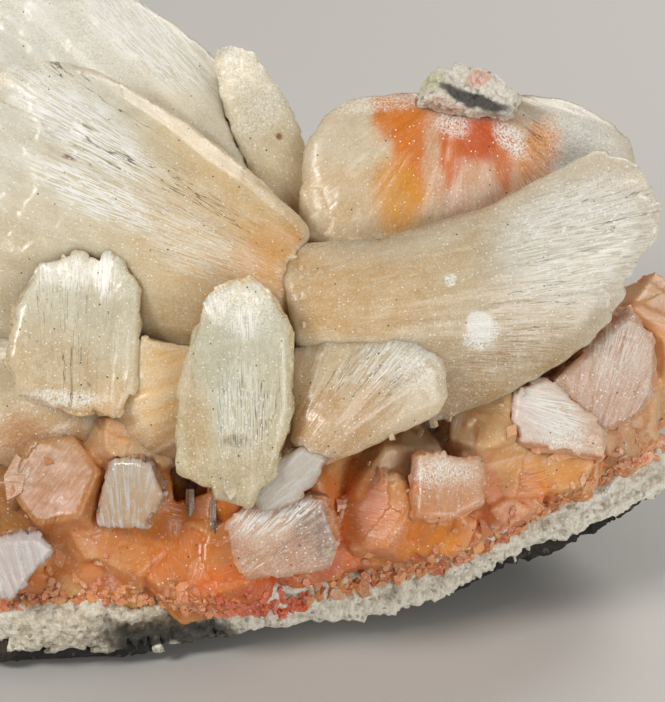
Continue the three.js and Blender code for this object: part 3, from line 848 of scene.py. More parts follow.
centreTablet = {
    "node": "centre_tablet",
    "slot": "pale",
    "look": "tablet",
    "voxel": 0.21,
    "soften": 6,
    "push": 0.3,
    "apex": (-8, -60),
    "reach": (42, 69),
    "ridges": [(1.5, 14, 0.18), (0.6, 7, 0.06)],
    "steps": (4, 0.12),
    "paleEdges": 0.05,
    "paintedRimLight": (206, 182, 134),
    "broken": 0.25,
    "teeth": (0.84, 1.3, 0.9),
    "lobes": (0.86, 1.3, 0.3),
    "colours": [
        (0.0, (204, 182, 142)), (0.4, (204, 194, 160)), (0.8, (208, 206, 184)), (1.0, (222, 220, 204)),
    ],
    "stainsAndPaintedLight": [
        stainAndPaintedLight((-10.6, -9.6), (1.3, 0.7), (130, 112, 58), 0.9, ragged=0.3),
        stainAndPaintedLight((-12, -1), (2.4, 6), (198, 196, 172), 0.6),
        stainAndPaintedLight((-9, -14), (4, 2.6), (192, 176, 142), 0.6),
        stainAndPaintedLight((-14.8, -8), (1.4, 6), (202, 170, 124), 0.7),
    ],
    "marks": [
        mark("glint", (-9.4, 3), (1.3, 1.5)),
        mark("glint", (-12.4, 5), (1.6, 2), 0.7),
        mark("glint", (-9.4, -6), (3, 5), 0.5),
        mark("frostAndSparkle", (-9.8, 4.6), (3.4, 2.6), 0.75, ragged=0.8),
        mark("crack", (-9, -5), (3.4, 6), 0.7),
    ],
}

smallPlates = [
    {
        "node": "grey_blade",
        "slot": "pale",
        "look": "glass",
        "apex": (-14, -22),
        "reach": (6, 20),
        "colours": [(0.0, (232, 212, 188)), (1.0, (248, 242, 232))],
        "marks": [mark("glint", (-4.6, -13), (3, 1.6), 0.9, turn=40)],
    },
    {
        "node": "white_blade",
        "slot": "pale",
        "look": "glass",
        "apex": (-22, -34),
        "reach": (15, 23),
        "colours": [(0.0, (236, 194, 150)), (1.0, (246, 226, 200))],
        "marks": [mark("frostAndSparkle", (-20.5, -13.5), (2.4, 2.2), 0.9)],
    },
    {
        "node": "lilac_blade",
        "slot": "pale",
        "look": "glass",
        "apex": (-30, -40),
        "reach": (13, 22),
        "colours": [(0.0, (236, 216, 208)), (1.0, (248, 238, 236))],
        "marks": [mark("glint", (-34.5, -22.5), (3, 2), 0.8)],
    },
    {
        "node": "pink_plate",
        "slot": "pink",
        "look": "pink",
        "apex": (24, -26),
        "reach": (16, 33),
        "colours": [(0.0, (180, 126, 96)), (0.5, (186, 144, 116)), (1.0, (190, 150, 124))],
        "marks": [mark("glint", (32, 0), (3, 4), 0.3)],
    },
    {
        "node": "pink_blade",
        "slot": "pink",
        "look": "pink",
        "apex": (14, -4),
        "reach": (6, 17),
        "colours": [(0.0, (234, 216, 206)), (0.5, (226, 206, 192)), (1.0, (214, 176, 152))],
        "marks": [
            mark("glint", (24, -6.6), (4, 2), 0.9, turn=-30),
            mark("frostAndSparkle", (25, -9), (3, 1.6), 0.7, turn=-30),
        ],
    },
    {
        "node": "lower_plate",
        "slot": "pink",
        "look": "pink",
        "apex": (-18, -30),
        "reach": (8, 22),
        "colours": [(0.0, (196, 142, 110)), (0.5, (200, 156, 132)), (1.0, (196, 166, 150))],
        "stainsAndPaintedLight": [
            stainAndPaintedLight((-2.4, -18), (2, 2.2), (148, 122, 112), 0.7),
            stainAndPaintedLight((-1, -21), (1.2, 1.8), (118, 92, 84), 0.6),
            stainAndPaintedLight((-7.6, -19.5), (2.6, 2), (218, 184, 160), 0.6),
        ],
        "marks": [
            mark("glint", (-6, -18), (4, 1.6), 0.8, turn=15),
            mark("crack", (-4, -20), (5, 3), 0.4),
        ],
    },
    {
        "node": "small_plate",
        "slot": "pink",
        "look": "pink",
        "apex": (12, -30),
        "reach": (12, 19),
        "colours": [(0.0, (212, 140, 92)), (0.6, (214, 164, 130)), (1.0, (222, 186, 160))],
        "marks": [mark("frostAndSparkle", (12, -13.4), (3.4, 1.4), 0.7)],
    },
]
smallPlateShape = {
    "voxel": 0.18,
    "soften": 4,
    "push": 0.3,
    "paleEdges": 0.05,
    "paintedRimLight": (224, 146, 92),
    "ridges": [(1.0, 6, 0.08), (0.4, 4, 0.04)],
    "steps": (2.4, 0.08),
    "teeth": (0.75, 1.0, 0.5),
    "broken": 0.4,
    "stainsAndPaintedLight": [],
}

glassLook = {
    "density": 18,
    "roughness": (0.12, 0.3),
    "clear": 0.36,
    "milk": (246, 242, 236),
    "streak": (254, 252, 246),
    "dust": (252, 250, 246),
    "inside": (236, 214, 190),
}


def glassMaterial():
    nodes = Nodes("crystal_glass")
    place, tint, fibre = nodes.place(), nodes.tint(), nodes.carried("fibre", "Vector")
    streaks = nodes.noise(nodes.scaled(fibre, (1 / 0.3, 1 / 4, 1 / 2)), 1, 5, 0.6)
    flaws = nodes.noise(place, 0.9 * mm, 5, 0.65)
    grain = nodes.noise(place, 0.2 * mm, 3, 0.6)
    colour = nodes.blend(nodes.ramp(flaws, 0.5, 0.7, (0.0, 0.7)), tint, rgba(glassLook["milk"]))
    colour = nodes.blend(nodes.ramp(streaks, 0.5, 0.6, (0.0, 0.85)), colour, rgba(glassLook["streak"]))
    colour = nodes.blend(nodes.specks(place, 0.5 * mm, 0.5, 0.2), colour, rgba(glassLook["dust"]))
    normal = nodes.bump(streaks, 0.08 * mm)
    normal = nodes.bump(grain, 0.012 * mm, 0.7, normal)
    principled = nodes.add("ShaderNodeBsdfPrincipled", {
        "Base Color": colour,
        "Roughness": nodes.ramp(flaws, 0.4, 0.65, glassLook["roughness"]),
        "Normal": normal,
        "IOR": 1.5,
        "Transmission Weight": glassLook["clear"],
        "Coat Weight": 0.3,
        "Coat Roughness": 0.06,
    })
    inside = nodes.add("ShaderNodeVolumeAbsorption")
    inside.inputs["Color"].default_value = rgba(glassLook["inside"])
    inside.inputs["Density"].default_value = glassLook["density"]
    ends = {"Surface": principled.outputs[0], "Volume": inside.outputs[0]}
    nodes.add("ShaderNodeOutputMaterial", ends)
    return nodes.material


materials["glass"] = glassMaterial()


def alongColours(share, stops):  # colour by how far out a point is, through the stops in turn
    places = [stop[0] for stop in stops]
    shades = np.array([shade(*stop[1]) for stop in stops])
    return np.stack([np.interp(share, places, shades[:, k]) for k in range(3)], axis=1)


growth = {
    "swirl": (2.2, 30, 4),  # mm across, along and out, for the wander of the growth steps
    "wander": 1.6,  # growth steps
    "stepZone": (0.55, 0.95),  # shares of the way out
    "chips": {"size": 1.2, "above": 0.93, "zone": (0.6, 0.95), "depth": 0.1},
    "rimFacets": 1.9,
    "bundleDrift": 0.35,
    "paintedTopShade": 0.3,
    "paleEdge": (238, 232, 216),
}


def crystalPiece(settings, salt):
    piece = regrown(settings["node"], settings["node"] + "_crystal", settings["voxel"], settings["soften"])
    mesh = piece.data
    points = pointsOf(mesh)
    normals = normalsOf(mesh)
    plane = toPlane(points)
    fibre = fibresOf(plane, settings["apex"])
    near, far = settings["reach"]
    share = np.clip((fibre[:, 1] - near) / (far - near), 0, 1)

    lift = np.full(len(points), float(settings["push"]))
    for across, along, height in settings["ridges"]:
        lift += height * clouds(fibre / np.array((across, along, 2.5)), 1, salt + across)
    stepLength, stepHeight = settings["steps"]
    wander = growth["wander"] * clouds(fibre / np.array(growth["swirl"]), 1, salt + 3)
    climb = fibre[:, 1] + wander * stepLength
    lift += stepHeight * (np.modf(climb / stepLength)[0] - 0.5) * ease(*growth["stepZone"], share)
    if "lobes" in settings:
        start, size, height = settings["lobes"]
        bumps, _ = facets(points, size, salt + 4)
        reached = share + 0.06 * clouds(points, 2, salt)
        lift += height * bumps * ease(start - 0.15, start + 0.1, reached)
    lift += 0.025 * clouds(points, 0.9, salt + 6) + 0.012 * clouds(points, 0.45, salt + 7)
    chip = growth["chips"]
    chips, chipNumber = facets(points, chip["size"], salt + 8)
    reached = share + 0.3 * clouds(points, 3, salt + 2)
    chipped = (chipNumber > chip["above"]) * ease(*chip["zone"], reached)
    lift -= chipped * (chip["depth"] + chip["depth"] * chips)
    facing = (normals * planeOut).sum(axis=1)
    rim = 1 - ease(0.3, 0.75, np.abs(facing))
    broken, _ = facets(points, growth["rimFacets"], salt + 15)
    lift += rim * settings.get("broken", 0.1) * broken
    moved = points + normals * lift[:, None]

    # The free end is uneven: each bundle of fibres is a little longer or shorter than the next.
    start, width, height = settings["teeth"]
    drift = growth["bundleDrift"] * clouds(plane, 2.4, salt + 16)
    bundle = np.floor(fibre[:, :1] / width + drift[:, None])
    longer = scatter(np.repeat(bundle, 3, axis=1), salt + 17) - 0.5
    away = (plane[:, :2] - np.array(settings["apex"])) / fibre[:, 1:2]
    along = away[:, :1] * np.array((1, 0, 0)) + away[:, 1:] * planeUp
    moved += along * (height * longer * ease(start, start + 0.15, share))[:, None]
    for zone, amount in zones(plane, settings.get("bulges", []), salt + 20):
        moved += (zone["height"] * amount * ease(0, 0.6, facing))[:, None] * planeOut
    setPoints(mesh, moved)

    edge = sharpness(mesh)
    colours = alongColours(share + 0.06 * clouds(points, 3, salt + 9), settings["colours"])
    front = ease(-0.35, 0.15, facing)
    colours = stainedAndPaintedLight(colours, plane, settings["stainsAndPaintedLight"], salt, 0.35 + 0.65 * front)
    # Painted shade: rim faces that turn upwards are darkened, to tone down the light they catch.
    side = rim * ease(0, 0.5, normals[:, 2])
    colours *= 1 - growth["paintedTopShade"] * side[:, None]
    # Painted light: rim faces and patches of sharp edges take the rim colour, a painted glow of light
    # through the thin edges that also tones down the light their bevels catch.
    if "paintedRimLight" in settings:
        wornAndPaintedEdges = ease(0.02, 0.1, edge) * ease(0.2, 0.9, clouds(points, 2.6, salt + 18) + 0.6)
        colours = toward(colours, settings["paintedRimLight"], 0.7 * np.maximum(rim, wornAndPaintedEdges))
    pale = np.clip(edge / 0.08, 0, 1) * settings.get("paleEdges", 0.2)
    colours = toward(colours, growth["paleEdge"], pale)
    colours = shadedGrooves(colours, edge, 0.06, 0.3, (0.2, 0.4, 0.6))
    marks = np.zeros((len(points), 3))
    for zone, amount in zones(plane, settings["marks"], salt + 1):
        column = markColumns[zone["kind"]]
        marks[:, column] = np.maximum(marks[:, column], amount)
    marks[:, 0] = np.maximum(marks[:, 0], 0.8 * pale)
    marks[:, 0] = np.maximum(marks[:, 0], 0.4 * chipped)
    paint(mesh, "tint", colours)
    paint(mesh, "marks", marks)
    carry(mesh, "fibre", fibre)
    surfaced(mesh, settings["look"])
    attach(piece, "root")
    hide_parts(settings["node"])
    return piece


sheaves = [leftSheaf, backSheaf, upperFan, rightFan, lowerLeftSheaf, middleFan]
blades = [backBlade, leftBlade, centreTablet]
plates = [{**smallPlateShape, **plate} for plate in smallPlates]
crystals = []
for number, settings in enumerate(sheaves + blades + plates):
    crystals.append(crystalPiece(settings, 10 * (number + 1)))
print("crystals", len(crystals), sum(len(piece.data.polygons) for piece in crystals) * 2, "triangles")

# The orange druse under the crystals

druse = {
    "voxel": 0.36,
    "soften": 2,
    "push": 0.2,
    "facets": [(4.6, 0.26), (2.4, 0.0)],  # the second size only varies the colour
    "calm": [{"at": (-29, -15), "size": (6.5, 6), "strength": 0.9}],
    "thin": 0.55,
    "colours": {
        "deep": (206, 90, 16),
        "orange": (226, 126, 28),
        "honey": (226, 158, 82),
        "pink": (226, 178, 142),
        "high": (216, 174, 124),
        "edge": (240, 176, 120),
    },
    "stainsAndPaintedLight": [
        stainAndPaintedLight((-14.6, -22), (8, 6), (214, 122, 36), 0.85),
        stainAndPaintedLight((-11.3, -27), (6, 3), (228, 108, 6), 0.95),
        stainAndPaintedLight((-5.8, -27.5), (4, 2.6), (216, 72, 14), 0.9),
        stainAndPaintedLight((-30, -15), (9, 6), (160, 104, 48), 0.9),
        stainAndPaintedLight((-26.7, -22), (5, 4), (216, 146, 98), 0.6),
        stainAndPaintedLight((-34.4, -28), (5, 3), (206, 112, 68), 0.7),
        stainAndPaintedLight((11.8, -20.8), (5, 3), (234, 138, 16), 0.95, ragged=0.3, soft=0.2),
        stainAndPaintedLight((12, -24), (4.5, 1.3), (170, 66, 34), 0.9),
        stainAndPaintedLight((4.1, -18.6), (5, 4), (214, 136, 90), 0.6),
        stainAndPaintedLight((0.8, -25), (4, 2.4), (200, 90, 50), 0.8),
        stainAndPaintedLight((19.5, -19), (4.5, 3.6), (244, 164, 126), 0.8),
        stainAndPaintedLight((26, -12.8), (3.6, 2.6), (228, 156, 84), 0.8),
        stainAndPaintedLight((32.7, -8.9), (5, 6), (250, 190, 148), 0.85),
        stainAndPaintedLight((35.5, 4.5), (3, 6), (240, 152, 100), 0.85),
        stainAndPaintedLight((11, -12), (6, 3), (214, 176, 140), 0.7),
        stainAndPaintedLight((-18.4, 0), (4, 9), (222, 178, 122), 0.8),
        stainAndPaintedLight((-20, -10), (7, 3), (218, 172, 132), 0.7),
    ],
}


def turnedOut(mesh):  # 1 where the surface faces away from the rock's middle, -1 where it faces it
    away = pointsOf(mesh) - rockCentre
    away /= np.linalg.norm(away, axis=1)[:, None]
    return (normalsOf(mesh) * away).sum(axis=1)


def drusePiece(settings):
    piece = regrown("orange_druse", "orange_druse_crystals", settings["voxel"], settings["soften"])
    thinned(piece, (turnedOut(piece.data) < -0.55) * 1.0, settings["thin"])
    mesh = piece.data
    points = pointsOf(mesh)
    normals = normalsOf(mesh)
    plane = toPlane(points)
    lift = np.full(len(points), settings["push"])
    rough = 1 - sum(amount for _, amount in zones(plane, settings["calm"], 53))
    numbers = []
    for salt, (size, height) in enumerate(settings["facets"]):
        bumps, number = facets(points, size, 40 + salt)
        lift += height * bumps * rough
        numbers.append(np.where(rough > 0.5, number, 0.3))
    lift += 0.02 * clouds(points, 0.8, 45)
    lift *= ease(-0.3, 0.2, turnedOut(mesh))
    setPoints(mesh, points + normals * lift[:, None])

    edge = sharpness(mesh, 2)
    shades = {name: shade(*colour) for name, colour in settings["colours"].items()}
    pick = 0.6 * numbers[0] + 0.25 * numbers[1] + 0.15 * (clouds(points, 6, 47) + 1) / 2
    paler = np.clip((plane[:, 1] + 24) / 22, 0, 1)  # towards the top of the layer
    pick = np.clip(pick * 0.75 + 0.35 * paler, 0, 1)
    stops = [0.0, 0.4, 0.7, 1.0]
    ramp = np.array([shades[name] for name in ("deep", "orange", "honey", "pink")])
    colours = np.stack([np.interp(pick, stops, ramp[:, k]) for k in range(3)], axis=1)
    high = 0.75 * ease(-17, -9, plane[:, 1]) * (0.25 + 0.75 * ease(-16, -8, plane[:, 2]))
    colours = toward(colours, settings["colours"]["high"], high)
    hold = ease(-12, -4, plane[:, 2]) * (0.75 + 0.25 * numbers[0])
    colours = stainedAndPaintedLight(colours, plane, settings["stainsAndPaintedLight"], 48, hold)
    pale = np.clip(edge / 0.08, 0, 1) * 0.16
    colours = toward(colours, settings["colours"]["edge"], pale)
    colours = shadedGrooves(colours, edge, 0.1, 0.35, (0.2, 0.5, 0.7))
    marks = np.zeros((len(points), 3))
    marks[:, 0] = 0.2 * ease(0.6, 0.9, clouds(points, 2.2, 49)) + 0.2 * pale
    marks[:, 1] = 0.3 * ease(0.6, 0.9, clouds(points, 3.2, 51))
    marks[:, 2] = 0.5 * ease(0.4, 0.8, clouds(points, 4, 52))
    paint(mesh, "tint", colours)
    paint(mesh, "marks", marks)
    turned = numbers[0][:, None] * 6 * pi
    spun = np.concatenate([
        plane[:, :1] * np.cos(turned) + plane[:, 1:2] * np.sin(turned),
        plane[:, 1:2] * np.cos(turned) - plane[:, :1] * np.sin(turned),
        plane[:, 2:],
    ], axis=1)
    carry(mesh, "fibre", spun)
    surfaced(mesh, "druse")
    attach(piece, "root")
    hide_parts("orange_druse")
    return piece


drusePart = drusePiece(druse)
print("druse", len(drusePart.data.polygons))

# The white crust and the rock

crust = {
    "voxel": 0.44,
    "push": 0.15,
    "lumps": [(2.4, 0.5), (1.0, 0.32)],
    "thin": 0.6,
    "colour": (244, 238, 220),
    "green": (178, 170, 132),
    "stainsAndPaintedLight": [
        stainAndPaintedLight((29, -15), (6, 4), (252, 251, 246), 0.9),
        stainAndPaintedLight((23, -18.5), (2.4, 1.6), (150, 136, 108), 0.6),
        # Painted shadow: a near-black patch along the crust's lower edge, under its overhang.
        stainAndPaintedLight((-19, -31.2), (9, 1.7), (16, 15, 14), 0.95, ragged=0.8, soft=0.2),
        stainAndPaintedLight((7, -25), (8, 2), (206, 196, 172), 0.6),
        stainAndPaintedLight((-20, -28), (6, 2.4), (176, 156, 120), 0.6),
        stainAndPaintedLight((-31, -31), (6, 3), (212, 198, 170), 0.7),
    ],
}


def crustPiece(settings):
    piece = regrown("white_crust", "white_crust_grains", settings["voxel"], 2)
    thinned(piece, (turnedOut(piece.data) < -0.4) * 1.0, settings["thin"])
    mesh = piece.data
    points = pointsOf(mesh)
    normals = normalsOf(mesh)
    lift = settings["push"] + lumps(points, settings["lumps"], 60) + 0.12 * clouds(points, 0.7, 63)
    lift *= ease(-0.2, 0.3, turnedOut(mesh))
    moved = points + normals * lift[:, None]
    moved[:, 2] = np.maximum(moved[:, 2], 0.05)
    setPoints(mesh, moved)
    edge = sharpness(mesh, 2)
    colours = np.tile(shade(*settings["colour"]), (len(points), 1))
    plane = toPlane(points)
    colours = stainedAndPaintedLight(colours, plane, settings["stainsAndPaintedLight"], 64, ease(-16, -6, plane[:, 2]))
    green = 0.3 * ease(0.3, 0.8, clouds(points, 3, 65)) * (colours.mean(axis=1) > 0.2)
    colours = toward(colours, settings["green"], green)
    paint(mesh, "tint", shadedGrooves(colours, edge, 0.08, 0.7, (0.5, 0.56, 0.64)))
    surfaced(mesh, "crust")
    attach(piece, "root")
    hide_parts("white_crust")
    return piece


rock = {
    "voxel": 0.46,
    "lumps": [(3.4, 0.55), (1.4, 0.28)],
    "pits": (2.6, 0.9),
    "thin": 0.7,
}


def rockPiece(settings):
    piece = regrown("basalt_matrix", "basalt_matrix_stone", settings["voxel"], 1)
    bm = bmesh.new()
    bm.from_mesh(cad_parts["white_crust"].data)
    cover = BVHTree.FromBMesh(bm)
    bm.free()
    covered = [cover.find_nearest(vert.co, 0.8 * mm)[0] is not None for vert in piece.data.vertices]
    thinned(piece, np.array(covered) * 1.0, settings["thin"])
    mesh = piece.data
    points = pointsOf(mesh)
    normals = normalsOf(mesh)
    lift = lumps(points, settings["lumps"], 70)
    pitSize, pitDepth = settings["pits"]
    _, number = facets(points, pitSize, 75)
    hollow = (number > 0.72) * ease(0.1, 0.6, clouds(points, 1.3, 76))
    lift -= pitDepth * hollow
    lift += 0.12 * clouds(points, 0.8, 77)
    foot = ease(0.2, 1.2, points[:, 2])  # the resting face stays flat
    moved = points + normals * (lift * foot)[:, None]
    moved[:, 2] = np.maximum(moved[:, 2], 0.0)
    setPoints(mesh, moved)
    surfaced(mesh, "rock")
    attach(piece, "root")
    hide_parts("basalt_matrix")
    return piece


crustPart = crustPiece(crust)
rockPart = rockPiece(rock)
print("crust and rock", len(crustPart.data.polygons), len(rockPart.data.polygons))

# Small crystals that stand in the druse, along its edge and in the seams between the large ones

dieRoll = np.random.default_rng(8)
farOut = 60  # mm in front of the crystals, where a line to their surface starts
farAround = 0.09  # metres from the rock's middle, for lines from any side


class Surface:
    # The outside of several pieces: where a line meets it, which piece that is and its colour there.
    def __init__(self, *pieces):
        bm = bmesh.new()
        shades, owners = [], []
        for number, piece in enumerate(pieces):
            mesh = piece.data
            bm.from_mesh(mesh)
            starts = np.empty(len(mesh.polygons), np.int32)
            mesh.polygons.foreach_get("loop_start", starts)
            corners = np.empty(len(mesh.loops), np.int32)
            mesh.loops.foreach_get("vertex_index", corners)
            tints = np.empty(len(mesh.vertices) * 4, np.float32)
            mesh.attributes["tint"].data.foreach_get("color", tints)
            shades.append(tints.reshape(-1, 4)[corners[starts], :3])
            owners.append(np.full(len(starts), number))
        self.tree = BVHTree.FromBMesh(bm)
        bm.free()
        self.shades, self.owners = np.concatenate(shades), np.concatenate(owners)

    def meets(self, start, way):
        place, normal, face, _ = self.tree.ray_cast(start, way)
        if place is None:
            return None
        return place, normal, self.shades[face].astype(float), self.owners[face]

    def fromFront(self, across, up):
        start = fromPlane(across, up, farOut)
        return self.meets(start, (fromPlane(across, up) - start).normalized())


class Cluster:
    # Many small crystals in one mesh, each with its own colour.
    def __init__(self, name, look, slot):
        self.name, self.look, self.slot = name, look, slot
        self.bm = bmesh.new()
        self.colours = []
        self.fibres = []

    def block(self, place, pose, size, colour, sides, taper):
        # A block with size (length, width, height) in mm; its top faces along the pose's Z.
        scale = Matrix.Diagonal((size[0] * mm, size[1] * mm, size[2] * mm, 1))
        matrix = Matrix.Translation(place) @ pose.to_4x4() @ scale
        ends = {"radius1": 0.5, "radius2": 0.5 * taper, "depth": 1}
        made = bmesh.ops.create_cone(self.bm, cap_ends=True, segments=sides, matrix=matrix, **ends)
        self.colours += [colour] * len(made["verts"])
        local = Matrix.Diagonal((*size, 1))
        along = [local @ matrix.inverted() @ vert.co for vert in made["verts"]]
        shift = dieRoll.uniform(0, 40, 3)
        self.fibres += [np.array((spot.x, spot.z, spot.y)) + shift for spot in along]

    def finish(self):
        mesh = bpy.data.meshes.new(self.name)
        self.bm.to_mesh(mesh)
        self.bm.free()
        piece = newPiece(self.name, mesh)
        paint(mesh, "tint", np.clip(np.array(self.colours), 0, 1))
        paint(mesh, "marks", np.tile((0.1, 0.1, 0.0), (len(mesh.vertices), 1)))
        carry(mesh, "fibre", np.array(self.fibres))
        mesh.materials.append(materials[self.look])
        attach(piece, "root")
        return piece


def tilted(normal, spread):  # a turn that faces roughly along the normal, with a random spin
    jitter = Vector(dieRoll.normal(0, spread, 3))
    facing = (normal + jitter).normalized().to_track_quat("Z", "Y").to_matrix()
    return facing @ Euler((0, 0, dieRoll.uniform(0, 2 * pi))).to_matrix()


smallDruse = {
    "span": (-41, 38),
    "rise": 0.9,
    # Along the lower edge, some of them over the crust; amid the large blocks; and around the back.
    "along": {"count": 700, "sizes": (0.7, 2.2), "sink": 0.34, "spread": 0.4, "edgeShare": 0.6},
    "amid": {"count": 30, "sizes": (2.2, 6), "sink": 0.5, "spread": 0.2, "edgeShare": 0.0},
    "around": {"count": 420, "sizes": (1.4, 4.6), "sink": 0.38, "spread": 0.35, "edgeShare": 0.3},
    "edge": [
        (-40, -29), (-30, -27.5), (-21.2, -27.8), (-14.6, -29.2), (-5, -29.4), (-0.3, -27.6), (7.4, -25.4),
        (11.8, -24.8), (18.4, -22), (22.8, -18.8), (27.2, -16.6), (31.6, -14.4), (37, -11.4),
    ],
    "red": {"from": -11, "to": -1, "colour": (224, 88, 14)},
    "edgeShades": [(204, 98, 20), (218, 130, 40), (206, 112, 40), (222, 150, 70), (214, 150, 96)],
}


def smallDrusePiece(settings, surface):
    cluster = Cluster("small_orange_crystals", "smallOrange", "orange")
    edgeShades = [shade(*colour) for colour in settings["edgeShades"]]
    edgeAt, edgeUp = zip(*settings["edge"])
    red = settings["red"]

    def add(found, kind):
        place, normal, under, owner = found
        low, high = kind["sizes"]
        share = kind["edgeShare"]
        size = low + (high - low) * dieRoll.beta(1.2, 2.6)
        depth = size * dieRoll.uniform(0.7, 1.1)
        own = edgeShades[int(dieRoll.integers(len(edgeShades)))]
        if share and red["from"] < place.x / mm < red["to"] and place.y < 0:
            own = shade(*red["colour"])
        colour = own if owner == 1 else under * (1 - share) + own * share
        cluster.block(
            place - normal * kind["sink"] * depth * mm,
            tilted(normal, kind["spread"]),
            (size * dieRoll.uniform(1.0, 1.5), size * dieRoll.uniform(0.6, 1.0), depth),
            colour * dieRoll.uniform(0.94, 1.2),
            int(dieRoll.integers(4, 7)),
            dieRoll.uniform(0.6, 0.9),
        )

    for _ in range(settings["along"]["count"]):
        across = dieRoll.uniform(*settings["span"])
        rise = dieRoll.exponential(settings["rise"])
        found = surface.fromFront(across, np.interp(across, edgeAt, edgeUp) + rise)
        if found and found[3] < 2:
            add(found, settings["along"])
    for _ in range(settings["amid"]["count"]):
        across = dieRoll.uniform(*settings["span"])
        found = surface.fromFront(across, np.interp(across, edgeAt, edgeUp) + dieRoll.uniform(1, 16))
        if found and found[3] == 0:
            add(found, settings["amid"])
    for _ in range(settings["around"]["count"]):
        way = Vector(dieRoll.normal(0, 1, 3)).normalized()
        if way.z < -0.2 or way.y < -0.6:
            continue
        found = surface.meets(Vector(rockCentre) * mm + way * farAround, -way)
        if found and found[3] == 0:
            add(found, settings["around"])
    return cluster.finish()


seams = {
    "rows": [
        {"from": (-3, 9), "to": (-4.6, 2), "count": 8, "wide": 0.6, "long": 2.0,
         "turn": 60, "tone": "pale"},
        {"from": (4, -11), "to": (20, -6), "count": 14, "wide": 1.0, "long": 2.2,
         "turn": 40, "tone": "honey"},
        {"from": (-9, -17), "to": (8, -16), "count": 10, "wide": 1.2, "long": 2.2,
         "turn": 30, "tone": "pink"},
    ],
    "tones": {
        "honey": [(226, 186, 134), (228, 196, 150), (220, 164, 108)],
        "pink": [(226, 176, 146), (226, 194, 170), (222, 140, 84)],
        "pale": [(224, 200, 160), (228, 214, 186)],
    },
}


def seamPiece(settings, surface):
    cluster = Cluster("small_pale_crystals", "smallPale", "cream")
    for row in settings["rows"]:
        start, end = np.array(row["from"]), np.array(row["to"])
        for _ in range(row["count"]):
            spot = start + (end - start) * dieRoll.uniform() + dieRoll.normal(0, row["wide"], 2)
            found = surface.fromFront(*spot)
            if not found:
                continue
            place, normal, under, _ = found
            angle = radians(row["turn"] + dieRoll.normal(0, 24))
            way = (fromPlane(cos(angle), sin(angle), 0.15) - fromPlane(0, 0)).normalized()
            side = normal.cross(way).normalized()
            upward = side.cross(way).normalized() * -1
            pose = Matrix((side, upward, way)).transposed()
            long = row["long"] * dieRoll.uniform(0.5, 1.2)
            choices = settings["tones"][row["tone"]]
            own = shade(*choices[int(dieRoll.integers(len(choices)))])
            cluster.block(
                place - normal * 0.3 * mm,
                pose @ Euler((dieRoll.normal(0, 0.25), dieRoll.normal(0, 0.25), 0)).to_matrix(),
                (long * dieRoll.uniform(0.4, 0.7), long * 0.3, long),
                0.25 * own + 0.75 * under,
                int(dieRoll.integers(4, 7)),
                dieRoll.uniform(0.5, 0.8),
            )
    return cluster.finish()


stubs = {
    "colour": (128, 92, 58),
    "rows": [
        {"from": (-16, -14), "to": (-15.6, -17), "count": 5, "size": (1.2, 0.9, 3.0)},
        {"from": (-13.2, -16), "to": (-13, -20), "count": 4, "size": (0.9, 0.7, 3.2)},
        {"from": (10.6, -8.4), "to": (11.6, -8.6), "count": 3, "size": (1.2, 0.9, 1.0)},
    ],
}


def stubPiece(settings, surface):
    cluster = Cluster("brown_stubs", "smallPale", "cream")
    for row in settings["rows"]:
        start, end = np.array(row["from"]), np.array(row["to"])
        for number in range(row["count"]):
            spot = start + (end - start) * number / row["count"] + dieRoll.normal(0, 0.25, 2)
            place, normal, _, _ = surface.fromFront(*spot)
            way = (fromPlane(0, 1) - fromPlane(0, 0)).normalized()
            side = normal.cross(way).normalized()
            pose = Matrix((side, side.cross(way) * -1, way)).transposed()
            brown = shade(*settings["colour"]) * dieRoll.uniform(0.7, 1.4)
            cluster.block(place, pose, row["size"], brown, 5, 0.8)
    return cluster.finish()


outside = Surface(drusePart, crustPart, *crystals)
smallPieces = [smallDrusePiece(smallDruse, outside), seamPiece(seams, outside), stubPiece(stubs, outside)]
print("small crystals", [len(piece.data.polygons) for piece in smallPieces])

# The scrap of pocket wall on the upper fan

chip = {
    "voxel": 0.15,
    "push": 0.15,
    "lumps": [(1.4, 0.3), (0.6, 0.14)],
    "colour": (226, 218, 204),
    "stainsAndPaintedLight": [
        stainAndPaintedLight((11, 29.4), (1.6, 1.3), (206, 202, 160), 0.8),
        stainAndPaintedLight((15.6, 27.8), (4, 0.8), (72, 68, 66), 0.95, turn=-20, soft=0.3),
        stainAndPaintedLight((16.4, 30), (1.2, 0.8), (226, 160, 130), 0.8),
        stainAndPaintedLight((12.4, 26.8), (2, 0.8), (196, 120, 90), 0.5),
    ],
}


def chipPiece(settings):
    piece = regrown("rock_chip", "rock_chip_stone", settings["voxel"], 2)
    mesh = piece.data
    points = pointsOf(mesh)
    lift = settings["push"] + lumps(points, settings["lumps"], 80)
    setPoints(mesh, points + normalsOf(mesh) * lift[:, None])
    colours = np.tile(shade(*settings["colour"]), (len(points), 1))
    paint(mesh, "tint", stainedAndPaintedLight(colours, toPlane(points), settings["stainsAndPaintedLight"], 82))
    surfaced(mesh, "crust")
    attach(piece, "root")
    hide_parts("rock_chip")


chipPiece(chip)

# Stage, light and camera

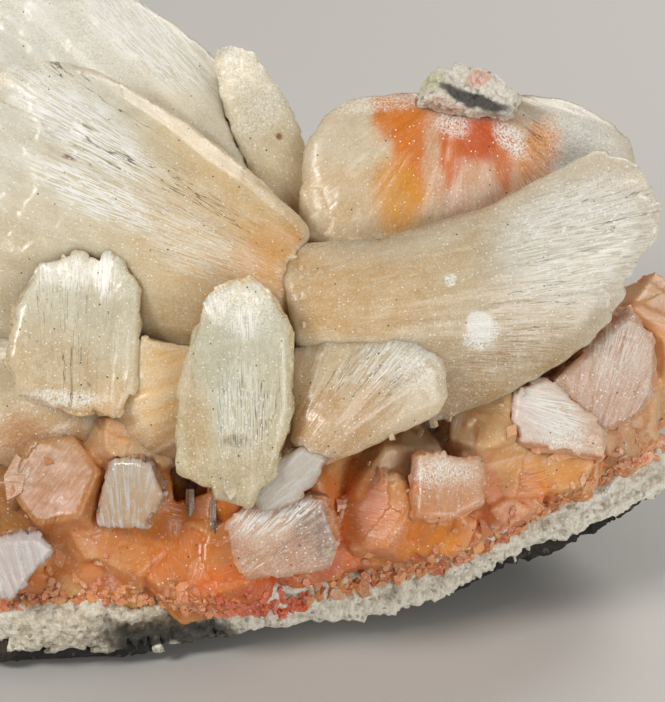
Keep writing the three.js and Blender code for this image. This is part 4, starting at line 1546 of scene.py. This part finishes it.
floor = newPiece("floor", bpy.data.meshes.new("floor"))
bm = bmesh.new()
bmesh.ops.create_grid(bm, x_segments=1, y_segments=1, size=3)
bmesh.ops.translate(bm, verts=bm.verts, vec=(0, 0, -0.0002))
bm.to_mesh(floor.data)
bm.free()
floorNodes = Nodes("pale_floor")
paper = floorNodes.noise(floorNodes.place(), 0.4 * mm, 4)
floor.data.materials.append(floorNodes.finish({
    "Base Color": rgba((214, 212, 208)),
    "Roughness": 0.8,
    "Normal": floorNodes.bump(paper, 0.01 * mm, 0.5),
}))

lamps = {
    "key": {"place": (-0.34, -0.27, 0.36), "size": 0.14, "power": 1.45, "colour": (1.0, 0.98, 0.95)},
    "fill": {"place": (0.36, -0.42, 0.1), "size": 0.32, "power": 1.5, "colour": (1.0, 0.99, 0.97)},
    "back": {"place": (0.2, 0.3, 0.34), "size": 0.22, "power": 0.9, "colour": (1.0, 0.97, 0.92)},
}
for name, lamp in lamps.items():
    light = bpy.data.lights.new(name, "AREA")
    light.size = lamp["size"]
    light.energy = lamp["power"]
    light.color = lamp["colour"]
    holder = bpy.data.objects.new(name, light)
    holder.location = lamp["place"]
    aim = Vector((0, 0, 0.03)) - Vector(lamp["place"])
    holder.rotation_euler = aim.to_track_quat("-Z", "Y").to_euler()
    bpy.context.scene.collection.objects.link(holder)

world = bpy.data.worlds.new("studio")
world.use_nodes = True
world.node_tree.nodes["Background"].inputs["Color"].default_value = (1.0, 0.98, 0.95, 1)
world.node_tree.nodes["Background"].inputs["Strength"].default_value = 0.2
bpy.context.scene.world = world
paths = {"max_bounces": 5, "diffuse_bounces": 2, "glossy_bounces": 1, "transmission_bounces": 3}
for name, bounces in paths.items():
    setattr(bpy.context.scene.cycles, name, bounces)
bpy.context.scene.cycles.caustics_reflective = False
bpy.context.scene.cycles.caustics_refractive = False
bpy.context.scene.view_settings.view_transform = "Standard"

# In mm; the field is the photo's long side where the crystals stand.
photoView = {"distance": 400, "fieldHeight": 77.2}
camera = bpy.data.objects.new("camera", bpy.data.cameras.new("camera"))
camera.data.sensor_width = 36
camera.data.lens = 36 * photoView["distance"] / photoView["fieldHeight"]
camera.data.clip_start = 0.01
camera.location = fromPlane(0, 0, photoView["distance"])
camera.rotation_euler = (fromPlane(0, 0) - camera.location).to_track_quat("-Z", "Y").to_euler()
bpy.context.scene.collection.objects.link(camera)
bpy.context.scene.camera = camera
